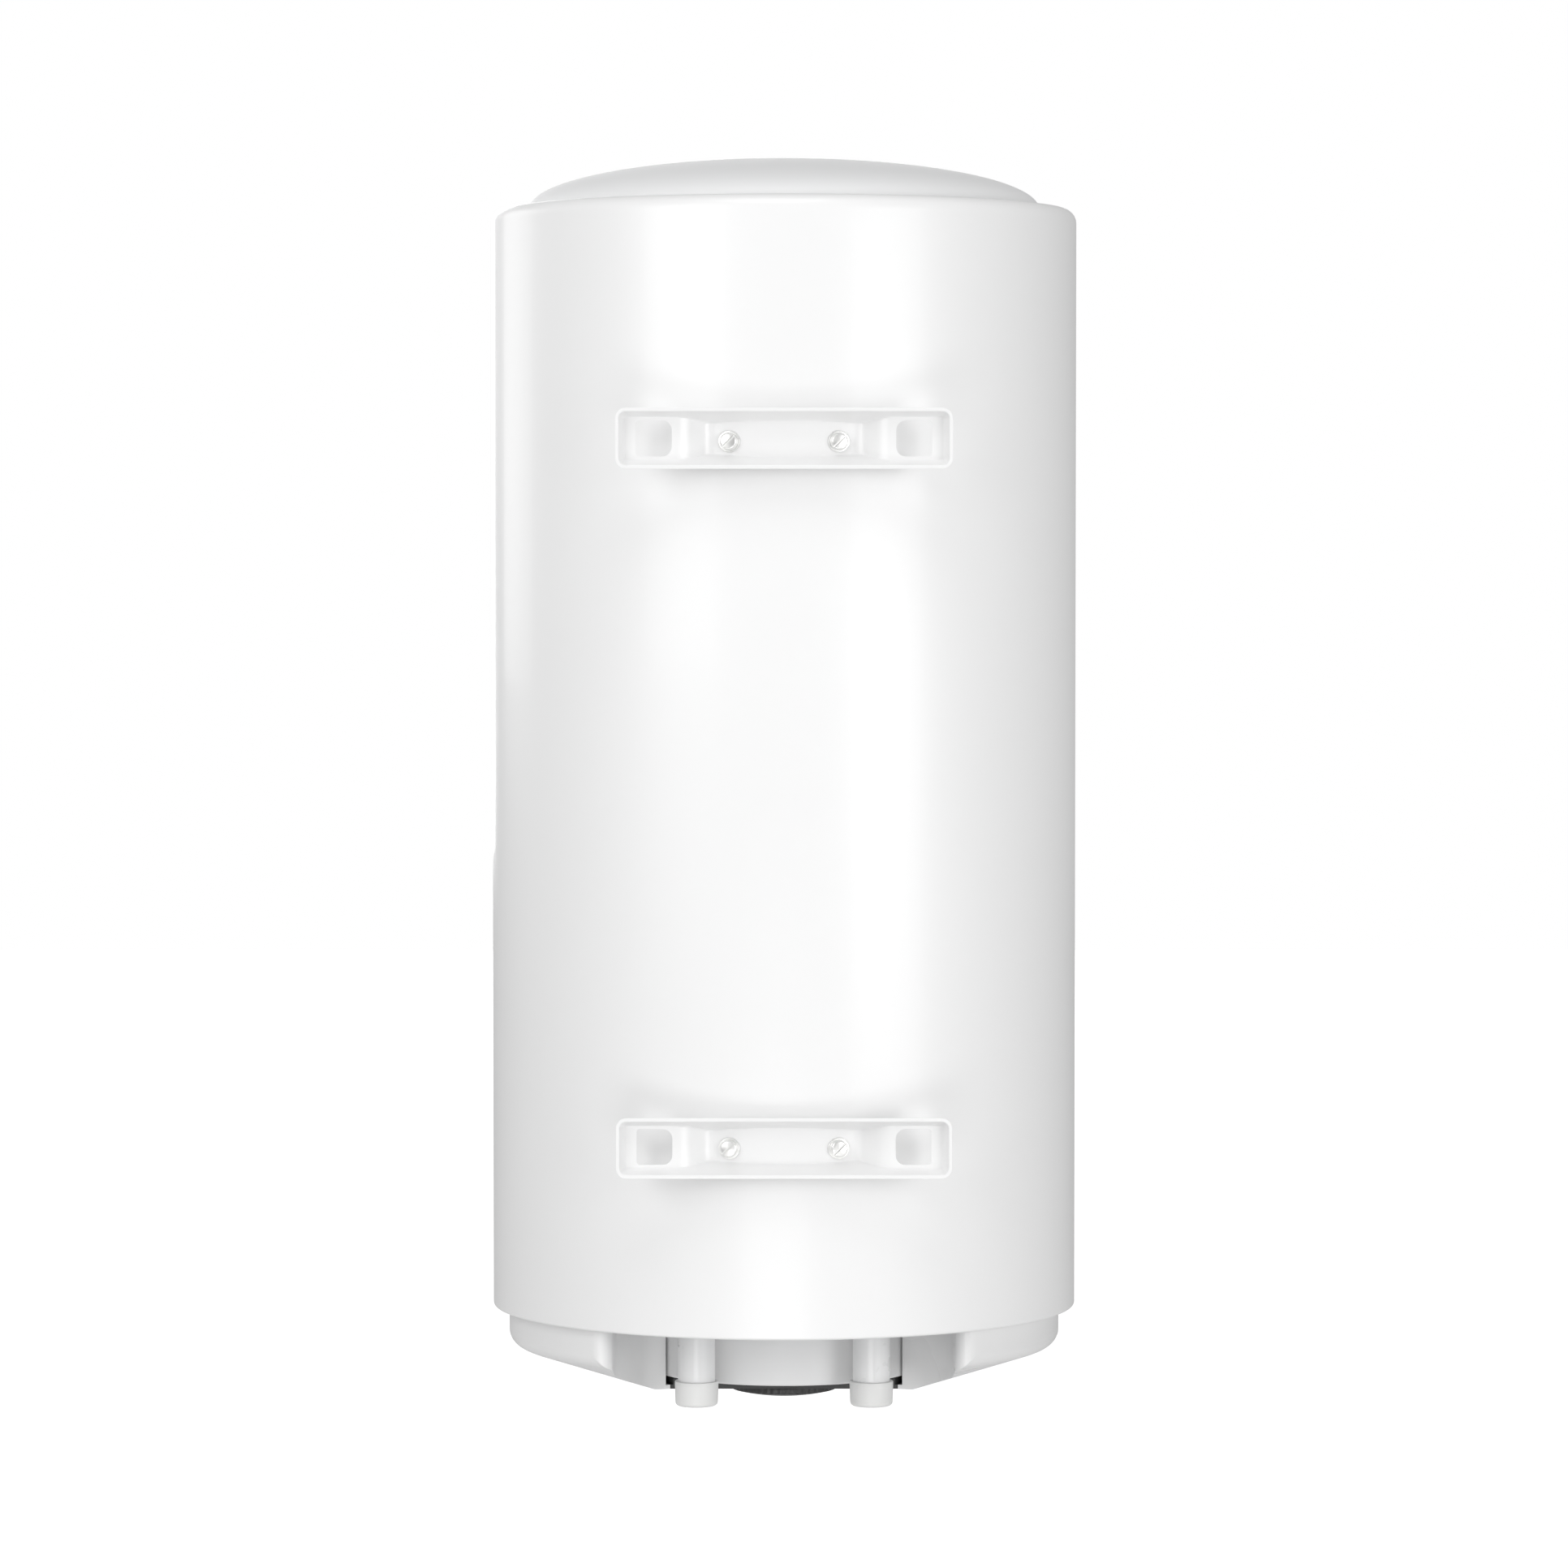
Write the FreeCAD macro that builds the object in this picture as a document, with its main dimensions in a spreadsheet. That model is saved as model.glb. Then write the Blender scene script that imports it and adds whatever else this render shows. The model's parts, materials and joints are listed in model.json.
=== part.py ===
"""Slim wall-hung electric storage water heater, about 37 litres, as a parametric assembly.

Millimetres, +Z up. The origin is the middle of the upper wall bracket's rim, in the wall plane.
The wall is on the +Y side and the user stands on the -Y side. Most sizes are measured from the
heater's own vertical axis, which stands axis_gap in front of the wall.
"""
import FreeCAD, Part
import Sketcher
import math
import os
import re

V = FreeCAD.Vector
UP = V(0, 0, 1)
FULL_TURN = 360

os.makedirs("parts", exist_ok=True)
doc = FreeCAD.newDocument("TankWaterHeater")

# ---------------------------------------------------------------------------------------------
# Driving dimensions. Levels are heights above the origin, so most of them are negative.
# ---------------------------------------------------------------------------------------------
SIZES = [
    ("axis_gap", 185, "wall plane to heater axis"),
    # Sheet casing
    ("casing_radius", 170, "outside radius of the painted casing"),
    ("casing_gauge", 1.2, "casing sheet"),
    ("casing_foot", -502, "bottom edge of the casing"),
    ("casing_head", 136, "top shoulder of the casing"),
    ("shoulder_round", 8, "outer radius of the rolled shoulder"),
    ("casing_mouth", 148.8, "opening in the shoulder"),
    ("casing_lip", 161.6, "inner radius of the turned-in bottom lip"),
    # Plastic covers
    ("cover_wall", 2.5, "wall of the moulded covers"),
    ("dome_radius", 148.3, "top cover"),
    ("dome_rise", 28.1, "height of the top cover's dome"),
    ("dome_seat", 136.6, "level where the dome starts"),
    ("dome_flange", 157.5, "radius of the flange under the shoulder"),
    ("bowl_radius", 160.8, "lower cover"),
    ("bowl_brim", -497, "top edge of the lower cover"),
    ("bowl_knuckle", -523.1, "level where wall and cone would meet"),
    ("bowl_floor", -548, "underside of the lower cover"),
    ("bowl_floor_radius", 85.3, "flat part of the underside"),
    ("bowl_flange", 166, "flange that rests on the casing lip"),
    ("notch_half", 97, "half width of the rear pipe notch"),
    ("notch_depth", 38, "front edge of the notch, behind the axis"),
    ("notch_round", 38, "corner radius of the notch in plan"),
    ("nose_back", 129.2, "where the notch's side would meet the flare at its mouth, behind the axis"),
    ("nose_far", 53.2, "where that flare would end, behind the axis"),
    ("nose_round", 7, "rounding between the notch's side and the flare"),
    ("hatch_hole", 76.5, "opening for the service cover"),
    ("hatch_radius", 76, "service cover"),
    # Electrics shroud
    ("shroud_radius", 77.6, "outside radius of the electrics shroud"),
    ("shroud_gauge", 1.5, "shroud sheet"),
    ("shroud_foot", -540.8, "bottom edge of the shroud"),
    ("shroud_head", -494, "top of the shroud flange"),
    ("shroud_flange", 84, "radius of the shroud flange"),
    ("deck_gauge", 1, "foam base plate"),
    # Tank
    ("tank_radius", 148, "outside radius of the pressure tank"),
    ("tank_gauge", 1.8, "tank plate"),
    ("barrel_foot", -425, "bottom weld of the barrel"),
    ("barrel_head", 67, "top weld of the barrel"),
    ("head_rise", 45, "depth of each dished head"),
    ("foam_radius", 168.3, "outside radius of the foam"),
    ("foam_head", 131.8, "top of the foam"),
    # Flange and element
    ("neck_bore", 50, "opening in the bottom head"),
    ("neck_radius", 70, "outside radius of the flange seat"),
    ("neck_foot", -478, "sealing face of the flange seat"),
    ("gasket_foot", -480, "underside of the gasket"),
    ("plate_foot", -484, "underside of the flange plate"),
    ("stud_circle", 60, "radius of the stud circle"),
    ("stud_radius", 3, "M6 stud"),
    ("element_radius", 4, "heating element sheath"),
    ("element_half", 16, "half the gap between the element's legs"),
    ("element_back", 32, "element, behind the axis"),
    ("element_head", -210, "centre of the element's bend"),
    ("anode_radius", 11, "magnesium anode"),
    ("anode_side", -34, "anode, across the heater"),
    ("well_front", -28, "thermowell, behind the axis"),
    ("carrier_foot", -494, "underside of the component carrier"),
    # Pipes
    ("pipe_half", 50, "half the spacing of the water pipes"),
    ("pipe_back", 85, "water pipes, behind the axis"),
    ("pipe_radius", 10.65, "half-inch pipe"),
    ("pipe_bore", 8, "bore of the pipe"),
    ("thread_radius", 10.48, "half-inch thread over its crests"),
    ("thread_head", -538.2, "top of the thread"),
    ("pipe_foot", -549.4, "open end of the pipe"),
    ("cap_radius", 12.45, "protective cap"),
    ("cap_head", -536.4, "top edge of the cap"),
    ("cap_foot", -550.7, "closed end of the cap"),
    # Wall brackets
    ("bracket_half", 93.5, "half length of a bracket"),
    ("bracket_rise", 17, "half height of a bracket"),
    ("bracket_drop", 393, "upper bracket to lower bracket"),
    ("bracket_gauge", 2, "bracket sheet"),
    ("bracket_corner", 4, "corner radius of a bracket"),
    ("ear_depth", 10, "depth of the hook plates, over the sheet"),
    ("ear_inner", 57, "inner end of the hook plates"),
    ("saddle_half", 42, "half length of the saddle"),
    ("saddle_depth", 22, "depth of the pressing before it is curved to the casing"),
    ("hook_centre", 72, "middle of a hook hole"),
    ("hook_half", 10, "half width of a hook hole"),
    ("bolt_side", 30, "bracket screws, each side of the middle"),
    ("bolt_drop", -1.5, "bracket screws, against the bracket's middle"),
    ("bolt_radius", 3, "M6 bracket screw"),
    # Controls
    ("knob_radius", 31, "thermostat knob"),
    ("knob_face", -549, "upper edge of the knob"),
    ("knob_foot", -556, "lowest point of the knob"),
    ("gland_side", 38, "cable gland, across the heater"),
    ("gland_front", -46, "cable gland, behind the axis"),
    ("gland_bore", 3.7, "hole for the supply cable"),
    ("lamp_front", -50, "pilot lamp, behind the axis"),
    ("reset_side", 42, "thermal cut-out, across the heater"),
    ("reset_front", -5, "thermal cut-out, behind the axis"),
    ("latch_side", 66, "service cover screws, across the heater"),
    ("latch_front", -12, "service cover screws, behind the axis"),
]

sheet = doc.addObject("Spreadsheet::Sheet", "Dims")
number = {}
for row, (alias, amount, note) in enumerate(SIZES, start=1):
    sheet.set("A%d" % row, note)
    sheet.set("B%d" % row, str(amount))
    sheet.setAlias("B%d" % row, alias)
    number[alias] = float(amount)
doc.recompute()


# ---------------------------------------------------------------------------------------------
# Helpers: every size is a short sum of sheet names and numbers, such as "tank_radius - 2".
# ---------------------------------------------------------------------------------------------
def worth(text):
    """The number that a sum of products such as 'tank_radius - 2 * tank_gauge' comes to."""
    total = 0.0
    for term in text.replace(" - ", " + -").split(" + "):
        product = 1.0
        for factor in term.split(" * "):
            sign = -1.0 if factor.startswith("-") else 1.0
            word = factor.lstrip("-")
            product *= sign * (number[word] if word in number else float(word))
        total += product
    return total


def bound(text):
    """The same sum as an expression on the sheet."""
    return re.sub(r"[a-z][a-z_]*", lambda found: "Dims." + found.group(0), text)


def drive(item, sizes):
    """Bind each property of item to its sum."""
    for prop, text in sizes.items():
        item.setExpression(prop, bound(text))
    return item


def place(item, across="0", back="0", level="0"):
    """Put item at a point given from the heater's axis: across, towards the wall, and level."""
    return drive(item, {
        "Placement.Base.x": across,
        "Placement.Base.y": back + " - axis_gap",
        "Placement.Base.z": level,
    })


def stand(item, across="0", back="0", level="0"):
    """Put item at a point given from the wall plane."""
    return drive(item, {
        "Placement.Base.x": across,
        "Placement.Base.y": back,
        "Placement.Base.z": level,
    })


def cylinder(name, radius, foot, tall, across="0", back="0"):
    item = drive(doc.addObject("Part::Cylinder", name), {"Radius": radius, "Height": tall})
    return place(item, across, back, foot)


def block(name, left, right, front, rear, foot, head):
    """Box between two corners given from the heater's axis."""
    item = doc.addObject("Part::Box", name)
    for prop, high, low in (("Length", right, left), ("Width", rear, front), ("Height", head, foot)):
        item.setExpression(prop, "(%s) - (%s)" % (bound(high), bound(low)))
    return place(item, left, front, foot)


def box(name, long, wide, tall, across, back, foot):
    """Box of the given size, its middle above a point given from the heater's axis."""
    item = doc.addObject("Part::Box", name)
    drive(item, {"Length": long, "Width": wide, "Height": tall})
    return place(item, across + " - 0.5 * " + long, back + " - 0.5 * " + wide, foot)


def prism(name, sides, radius, foot, tall, across="0", back="0"):
    item = drive(doc.addObject("Part::Prism", name), {"Circumradius": radius, "Height": tall})
    item.Polygon = sides
    return place(item, across, back, foot)


def half_ellipsoid(name, rise, radius, level, upward):
    """Upper or lower half of a flattened ball about the heater's axis."""
    item = doc.addObject("Part::Ellipsoid", name)
    drive(item, {"Radius1": rise, "Radius2": radius, "Radius3": radius})
    item.Angle1 = 0 if upward else -90
    item.Angle2 = 90 if upward else 0
    return place(item, level=level)


def fuse(name, items):
    item = doc.addObject("Part::MultiFuse", name)
    item.Shapes = items
    item.Refine = True
    return item


def common(name, items):
    item = doc.addObject("Part::MultiCommon", name)
    item.Shapes = items
    item.Refine = True
    return item


def cut(name, base, tools):
    item = doc.addObject("Part::Cut", name)
    item.Base = base
    item.Tool = tools[0] if len(tools) == 1 else fuse(name + "_tools", tools)
    item.Refine = True
    return item


def group(name, items):
    """Identical loose pieces kept together as separate solids."""
    item = doc.addObject("Part::Compound", name)
    item.Links = items
    return item


def hold(sketch, line, end, across, up):
    """Fix one point of a sketch by its two distances from the sketch's origin."""
    for kind, axis, text in (("DistanceX", -2, across), ("DistanceY", -1, up)):
        if abs(worth(text)) < 1e-9:
            sketch.addConstraint(Sketcher.Constraint("PointOnObject", line, end, axis))
        else:
            limit = Sketcher.Constraint(kind, -1, 1, line, end, worth(text))
            index = sketch.addConstraint(limit)
            sketch.setExpression("Constraints[%d]" % index, bound(text))


def round_corner(before, corner, after, radius):
    """Tangent arc in a corner, and whether it runs the same way round as the outline."""
    inward = (before - corner).normalize()
    onward = (after - corner).normalize()
    half = inward.getAngle(onward) / 2
    entry = corner + inward * (radius / math.tan(half))
    leave = corner + onward * (radius / math.tan(half))
    centre = corner + (inward + onward).normalize() * (radius / math.sin(half))
    forward = (onward.cross(inward)).z > 0
    first, last = (entry, leave) if forward else (leave, entry)
    angles = [math.atan2(point.y - centre.y, point.x - centre.x) for point in (first, last)]
    arc = Part.ArcOfCircle(Part.Circle(centre, UP, radius), angles[0], angles[1])
    return entry, leave, arc, forward


def outline(body, name, plane, corners):
    """Closed sketch on one of the body's origin planes. A corner is (across, up), and a rounded
    one is (across, up, radius)."""
    sketch = body.newObject("Sketcher::SketchObject", name)
    support = next(item for item in body.Origin.OriginFeatures if item.Role == plane)
    sketch.AttachmentSupport = (support, [""])
    sketch.MapMode = "FlatFace"
    count = len(corners)
    points = [V(worth(corner[0]), worth(corner[1]), 0) for corner in corners]
    entries, leaves, arcs = list(points), list(points), {}
    for i, corner in enumerate(corners):
        if len(corner) == 3:
            found = round_corner(points[i - 1], points[i], points[(i + 1) % count], worth(corner[2]))
            entries[i], leaves[i] = found[0], found[1]
            arcs[i] = found[2:]
    for i in range(count):
        sketch.addGeometry(Part.LineSegment(leaves[i], entries[(i + 1) % count]))
    for i, corner in enumerate(corners):
        before = (i - 1) % count
        if i not in arcs:
            sketch.addConstraint(Sketcher.Constraint("Coincident", before, 2, i, 1))
            hold(sketch, i, 1, corner[0], corner[1])
            continue
        curve, forward = arcs[i]
        arc = sketch.addGeometry(curve)
        near, far = (1, 2) if forward else (2, 1)
        sketch.addConstraint(Sketcher.Constraint("Tangent", before, 2, arc, near))
        sketch.addConstraint(Sketcher.Constraint("Tangent", arc, far, i, 1))
        index = sketch.addConstraint(Sketcher.Constraint("Radius", arc, worth(corner[2])))
        sketch.setExpression("Constraints[%d]" % index, bound(corner[2]))
        mark = sketch.addGeometry(Part.Point(points[i]), True)
        sketch.addConstraint(Sketcher.Constraint("PointOnObject", mark, 1, before))
        sketch.addConstraint(Sketcher.Constraint("PointOnObject", mark, 1, i))
        hold(sketch, mark, 1, corner[0], corner[1])
    return sketch


def lathe(name, corners, across="0", back="0"):
    """Body turned about a vertical axis. Corners are (radius, level)."""
    body = doc.addObject("PartDesign::Body", name)
    sketch = outline(body, name + "_outline", "XZ_Plane", corners)
    turned = body.newObject("PartDesign::Revolution", name + "_turned")
    turned.Profile = sketch
    turned.ReferenceAxis = (sketch, ["V_Axis"])
    turned.Angle = FULL_TURN
    body.Tip = turned
    return place(body, across, back)


def pad(name, plane, corners, length):
    """Body pushed out of a sketch: up from XY_Plane, to +X from YZ_Plane, to -Y from XZ_Plane."""
    body = doc.addObject("PartDesign::Body", name)
    sketch = outline(body, name + "_outline", plane, corners)
    pushed = body.newObject("PartDesign::Pad", name + "_pushed")
    pushed.Profile = sketch
    drive(pushed, {"Length": length})
    body.Tip = pushed
    return body


def negated(text):
    """A sum with the sign of each term changed."""
    flipped = text.replace(" - ", " ~ ").replace(" + ", " - ").replace(" ~ ", " + ")
    return "-" + flipped


def mirrored(corners):
    """The corners followed by their mirror images across the middle, in reverse order."""
    other = [(negated(corner[0]),) + tuple(corner[1:]) for corner in reversed(corners)]
    return list(corners) + other


def radial(item, side, level, start):
    """Turn an upright piece so that its top points out of the casing's rear, square to it."""
    lean = math.asin(side / number["casing_radius"])
    out = V(math.sin(lean), math.cos(lean), 0)
    turn = FreeCAD.Rotation(UP, out)
    centre = V(0, -number["axis_gap"], level)
    item.Placement = FreeCAD.Placement(centre + out * start, turn)
    return item


nodes = []


def part(node, item):
    """Give a finished piece its own label."""
    item.Label = node
    nodes.append(item)
    return item


# ---------------------------------------------------------------------------------------------
# Casing: one rolled sheet with a rolled shoulder, a turned-in lip and four screw holes.
# ---------------------------------------------------------------------------------------------
BRACKET_LEVELS = (0.0, -number["bracket_drop"])
SIDES = (-1, 1)


def screw_axes():
    """Where the bracket screws go: side and level of each."""
    return [(side * number["bolt_side"], level + number["bolt_drop"])
            for level in BRACKET_LEVELS for side in SIDES]


def make_casing():
    shell = lathe("casing_shell", [
        ("casing_lip", "casing_foot"),
        ("casing_radius", "casing_foot", "1.5"),
        ("casing_radius", "casing_head", "shoulder_round"),
        ("casing_mouth", "casing_head"),
        ("casing_mouth", "casing_head - casing_gauge"),
        ("casing_radius - casing_gauge", "casing_head - casing_gauge", "shoulder_round - casing_gauge"),
        ("casing_radius - casing_gauge", "casing_foot + casing_gauge"),
        ("casing_lip", "casing_foot + casing_gauge"),
    ])
    drills = []
    for index, (side, level) in enumerate(screw_axes()):
        drill = doc.addObject("Part::Cylinder", "casing_drill_%d" % index)
        drive(drill, {"Radius": "bolt_radius + 0.4", "Height": "12"})
        drills.append(radial(drill, side, level, number["casing_radius"] - 6))
    return part("casing", cut("casing_cut", shell, drills))


# ---------------------------------------------------------------------------------------------
# Top cover: a shallow plastic dome whose flange is trapped under the casing's shoulder.
# ---------------------------------------------------------------------------------------------
def make_top_cover():
    outer = half_ellipsoid("dome_outer", "dome_rise", "dome_radius", "dome_seat", True)
    neck = cylinder("dome_neck", "dome_radius", "casing_head - casing_gauge - 0.6",
                    "dome_seat - casing_head + casing_gauge + 0.6")
    flange = cylinder("dome_flange_disc", "dome_flange", "casing_head - casing_gauge - cover_wall",
                      "cover_wall - 0.1")
    inner = half_ellipsoid("dome_inner", "dome_rise - cover_wall", "dome_radius - cover_wall",
                           "dome_seat", True)
    mouth = cylinder("dome_mouth", "dome_radius - cover_wall", "casing_head - 6",
                     "dome_seat - casing_head + 6")
    solid = fuse("dome_solid", [outer, neck, flange])
    return part("top_cover", cut("dome_shell", solid, [inner, mouth]))


# ---------------------------------------------------------------------------------------------
# Lower cover: a shallow moulded bowl, open at the rear round the pipes, walled round that notch,
# with a round opening for the service cover and room for the electrics shroud.
# ---------------------------------------------------------------------------------------------
def notch(name, grow):
    """The pipe notch as an upright prism, grown on every side by the given amount. Its mouth flares
    along the outside of the bowl, so that each side wall ends in a rounded nose."""
    corners = mirrored([
        ("180", "200"),
        ("180", "nose_far - 1.356 * " + grow),
        ("notch_half + " + grow, "nose_back - 2.273 * " + grow, "nose_round - " + grow),
        ("notch_half + " + grow, "notch_depth - " + grow, "notch_round + " + grow),
    ])
    return place(pad(name, "XY_Plane", corners, "90"), level="bowl_floor - 20")


def make_lower_cover():
    outer = lathe("bowl_outer", [
        ("0", "bowl_floor"),
        ("bowl_floor_radius", "bowl_floor", "8"),
        ("bowl_radius", "bowl_knuckle", "9"),
        ("bowl_radius", "bowl_brim"),
        ("0", "bowl_brim"),
    ])
    inner = lathe("bowl_inner", [
        ("0", "bowl_floor + cover_wall"),
        ("bowl_floor_radius - 0.4", "bowl_floor + cover_wall", "6"),
        ("bowl_radius - cover_wall", "bowl_knuckle + 1.8", "6.5"),
        ("bowl_radius - cover_wall", "bowl_brim + 5"),
        ("0", "bowl_brim + 5"),
    ])
    flange = lathe("bowl_flange_ring", [
        ("bowl_radius - 1", "casing_foot + casing_gauge"),
        ("bowl_flange", "casing_foot + casing_gauge"),
        ("bowl_flange", "casing_foot + casing_gauge + 2"),
        ("bowl_radius - 1", "casing_foot + casing_gauge + 2"),
    ])
    solid = cut("bowl_solid", fuse("bowl_with_flange", [outer, flange]), [notch("notch_outer", "0")])
    hollow = cut("bowl_hollow", inner, [notch("notch_inner", "cover_wall")])
    shroud_room = cylinder("shroud_room", "shroud_radius + 1.4", "bowl_floor + cover_wall", "60")
    opening = cylinder("hatch_opening", "hatch_hole", "bowl_floor - 5", "60")
    return part("lower_cover", cut("bowl_shell", solid, [hollow, shroud_room, opening]))


# ---------------------------------------------------------------------------------------------
# Service cover: the dark hatch under the electrics, straight along the notch.
# ---------------------------------------------------------------------------------------------
def make_service_cover():
    disc = cylinder("hatch_disc", "hatch_radius", "bowl_floor", "cover_wall")
    rim = cut("hatch_rim", cylinder("hatch_rim_outer", "hatch_radius - 1.5", "bowl_floor", "6"),
              [cylinder("hatch_rim_inner", "hatch_radius - 3.5", "bowl_floor", "6")])
    wall = box("hatch_wall", "124", "2.2", "5.5", "0", "notch_depth - 1.4", "bowl_floor")
    behind = box("hatch_behind", "200", "60", "30", "0", "notch_depth + 29.7", "bowl_floor - 10")
    holes = [
        cylinder("hatch_knob_hole", "8.5", "bowl_floor - 5", "20"),
        cylinder("hatch_lamp_hole", "5.1", "bowl_floor - 5", "20", back="lamp_front"),
        cylinder("hatch_gland_hole", "8.1", "bowl_floor - 5", "20", "gland_side", "gland_front"),
    ]
    for side in SIDES:
        across = "%d * latch_side" % side
        holes.append(cylinder("hatch_screw_hole_%d" % (side + 2), "2.2", "bowl_floor - 5", "20",
                              across, "latch_front"))
    solid = fuse("hatch_solid", [disc, rim, wall])
    return part("service_cover", cut("hatch_shell", solid, [behind] + holes))


def make_service_cover_screws():
    screws = []
    for side in SIDES:
        tag = "_%d" % (side + 2)
        across = "%d * latch_side" % side
        head = cylinder("latch_head" + tag, "3.8", "bowl_floor - 2.2", "2.2", across, "latch_front")
        shank = cylinder("latch_shank" + tag, "1.9", "bowl_floor - 0.1", "16", across, "latch_front")
        solid = fuse("latch_solid" + tag, [head, shank])
        slots = [
            box("latch_slot_a" + tag, "4.6", "1", "1.2", across, "latch_front", "bowl_floor - 2.4"),
            box("latch_slot_b" + tag, "1", "4.6", "1.2", across, "latch_front", "bowl_floor - 2.4"),
        ]
        screws.append(cut("latch_screw" + tag, solid, slots))
    return part("service_cover_screws", group("latch_screws", screws))


# ---------------------------------------------------------------------------------------------
# Electrics shroud, a can that is open below except behind the service cover, and the plate that
# closes the foam space.
# ---------------------------------------------------------------------------------------------
def make_electrics_shroud():
    wall_inside = "shroud_radius - shroud_gauge"
    can = lathe("shroud_can", [
        ("0", "shroud_foot"),
        ("shroud_radius", "shroud_foot", "1.4"),
        ("shroud_radius", "shroud_head - shroud_gauge"),
        ("shroud_flange", "shroud_head - shroud_gauge"),
        ("shroud_flange", "shroud_head"),
        (wall_inside, "shroud_head"),
        (wall_inside, "shroud_foot + shroud_gauge"),
        ("0", "shroud_foot + shroud_gauge"),
    ])
    window = cut("shroud_window", cylinder("shroud_window_disc", "shroud_radius - 4.6", "shroud_foot - 2", "6"),
                 [box("shroud_window_rear", "200", "60", "20", "0", "notch_depth + 28", "shroud_foot - 8")])
    shell = cut("shroud_shell", can, [window])
    bosses, bores = [], []
    for side in SIDES:
        tag = "_%d" % (side + 2)
        across = "%d * latch_side" % side
        bosses.append(cylinder("shroud_boss" + tag, "5", "bowl_floor + cover_wall", "22",
                               across, "latch_front"))
        web_middle = "%d * 71.5" % side
        bosses.append(box("shroud_web" + tag, "8", "5", "9", web_middle, "latch_front",
                          "shroud_foot + shroud_gauge"))
        bores.append(cylinder("shroud_bore" + tag, "1.9", "bowl_floor", "18", across, "latch_front"))
    screw_holes = [cylinder("shroud_hole_%d" % index, "2.1", "shroud_head - 4", "8",
                            "%.3f" % across, "%.3f" % back)
                   for index, (across, back) in enumerate(shroud_screw_points())]
    limit = cylinder("shroud_limit", "shroud_flange + 1", "bowl_floor", "60")
    solid = common("shroud_solid", [fuse("shroud_raw", [shell] + bosses), limit])
    return part("electrics_shroud", cut("shroud_cut", solid, bores + screw_holes))


def shroud_screw_points():
    """Three screws through the shroud flange, all in front of the axis."""
    circle = (number["shroud_flange"] + number["shroud_radius"]) / 2
    turns = [math.radians(angle) for angle in (-150, -90, -30)]
    return [(circle * math.cos(turn), circle * math.sin(turn)) for turn in turns]


def make_shroud_screws():
    screws = []
    for index, (across, back) in enumerate(shroud_screw_points()):
        where = ("%.3f" % across, "%.3f" % back)
        head = cylinder("shroud_screw_head_%d" % index, "3", "shroud_head - shroud_gauge - 2", "2", *where)
        shank = cylinder("shroud_screw_shank_%d" % index, "2", "shroud_head - shroud_gauge - 0.1",
                         "2.5", *where)
        screws.append(fuse("shroud_screw_%d" % index, [head, shank]))
    return part("shroud_screws", group("shroud_screw_group", screws))


def make_foam_base_plate():
    disc = cylinder("deck_disc", "foam_radius", "shroud_head", "deck_gauge")
    holes = [cylinder("deck_mouth", "shroud_radius - shroud_gauge", "shroud_head - 2", "6")]
    for side in SIDES:
        holes.append(cylinder("deck_pipe_hole_%d" % (side + 2), "13", "shroud_head - 2", "6",
                              "%d * pipe_half" % side, "pipe_back"))
    for index, (across, back) in enumerate(shroud_screw_points()):
        holes.append(cylinder("deck_hole_%d" % index, "2", "shroud_head - 2", "6",
                              "%.3f" % across, "%.3f" % back))
    return part("foam_base_plate", cut("deck_cut", disc, holes))


def make_pipe_grommets():
    rings = [lathe("grommet_%d" % (side + 2), [
        ("pipe_radius + 0.1", "shroud_head - 2"),
        ("14.4", "shroud_head - 2", "0.8"),
        ("14.4", "shroud_head"),
        ("13", "shroud_head"),
        ("13", "shroud_head + deck_gauge"),
        ("pipe_radius + 0.1", "shroud_head + deck_gauge"),
    ], "%d * pipe_half" % side, "pipe_back") for side in SIDES]
    return part("pipe_grommets", group("grommet_group", rings))


# ---------------------------------------------------------------------------------------------
# Tank: barrel, two dished heads, anchors for the brackets, and the foam round it all.
# ---------------------------------------------------------------------------------------------
def make_tank_barrel():
    tall = "barrel_head - barrel_foot"
    outer = cylinder("barrel_outer", "tank_radius", "barrel_foot", tall)
    inner = cylinder("barrel_inner", "tank_radius - tank_gauge", "barrel_foot", tall)
    return part("tank_barrel", cut("barrel_shell", outer, [inner]))


def dished_head(name, level, upward):
    outer = half_ellipsoid(name + "_outer", "head_rise", "tank_radius", level, upward)
    inner = half_ellipsoid(name + "_inner", "head_rise - tank_gauge", "tank_radius - tank_gauge",
                           level, upward)
    return outer, inner


def make_tank_top_head():
    outer, inner = dished_head("top_head", "barrel_head", True)
    return part("tank_top_head", cut("top_head_shell", outer, [inner]))


def make_tank_bottom_head():
    outer, inner = dished_head("bottom_head", "barrel_foot", False)
    holes = [cylinder("head_neck_hole", "neck_bore", "neck_foot", "60")]
    for side in SIDES:
        holes.append(cylinder("head_pipe_hole_%d" % (side + 2), "pipe_radius", "neck_foot", "60",
                              "%d * pipe_half" % side, "pipe_back"))
    return part("tank_bottom_head", cut("bottom_head_shell", outer, [inner] + holes))


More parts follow.
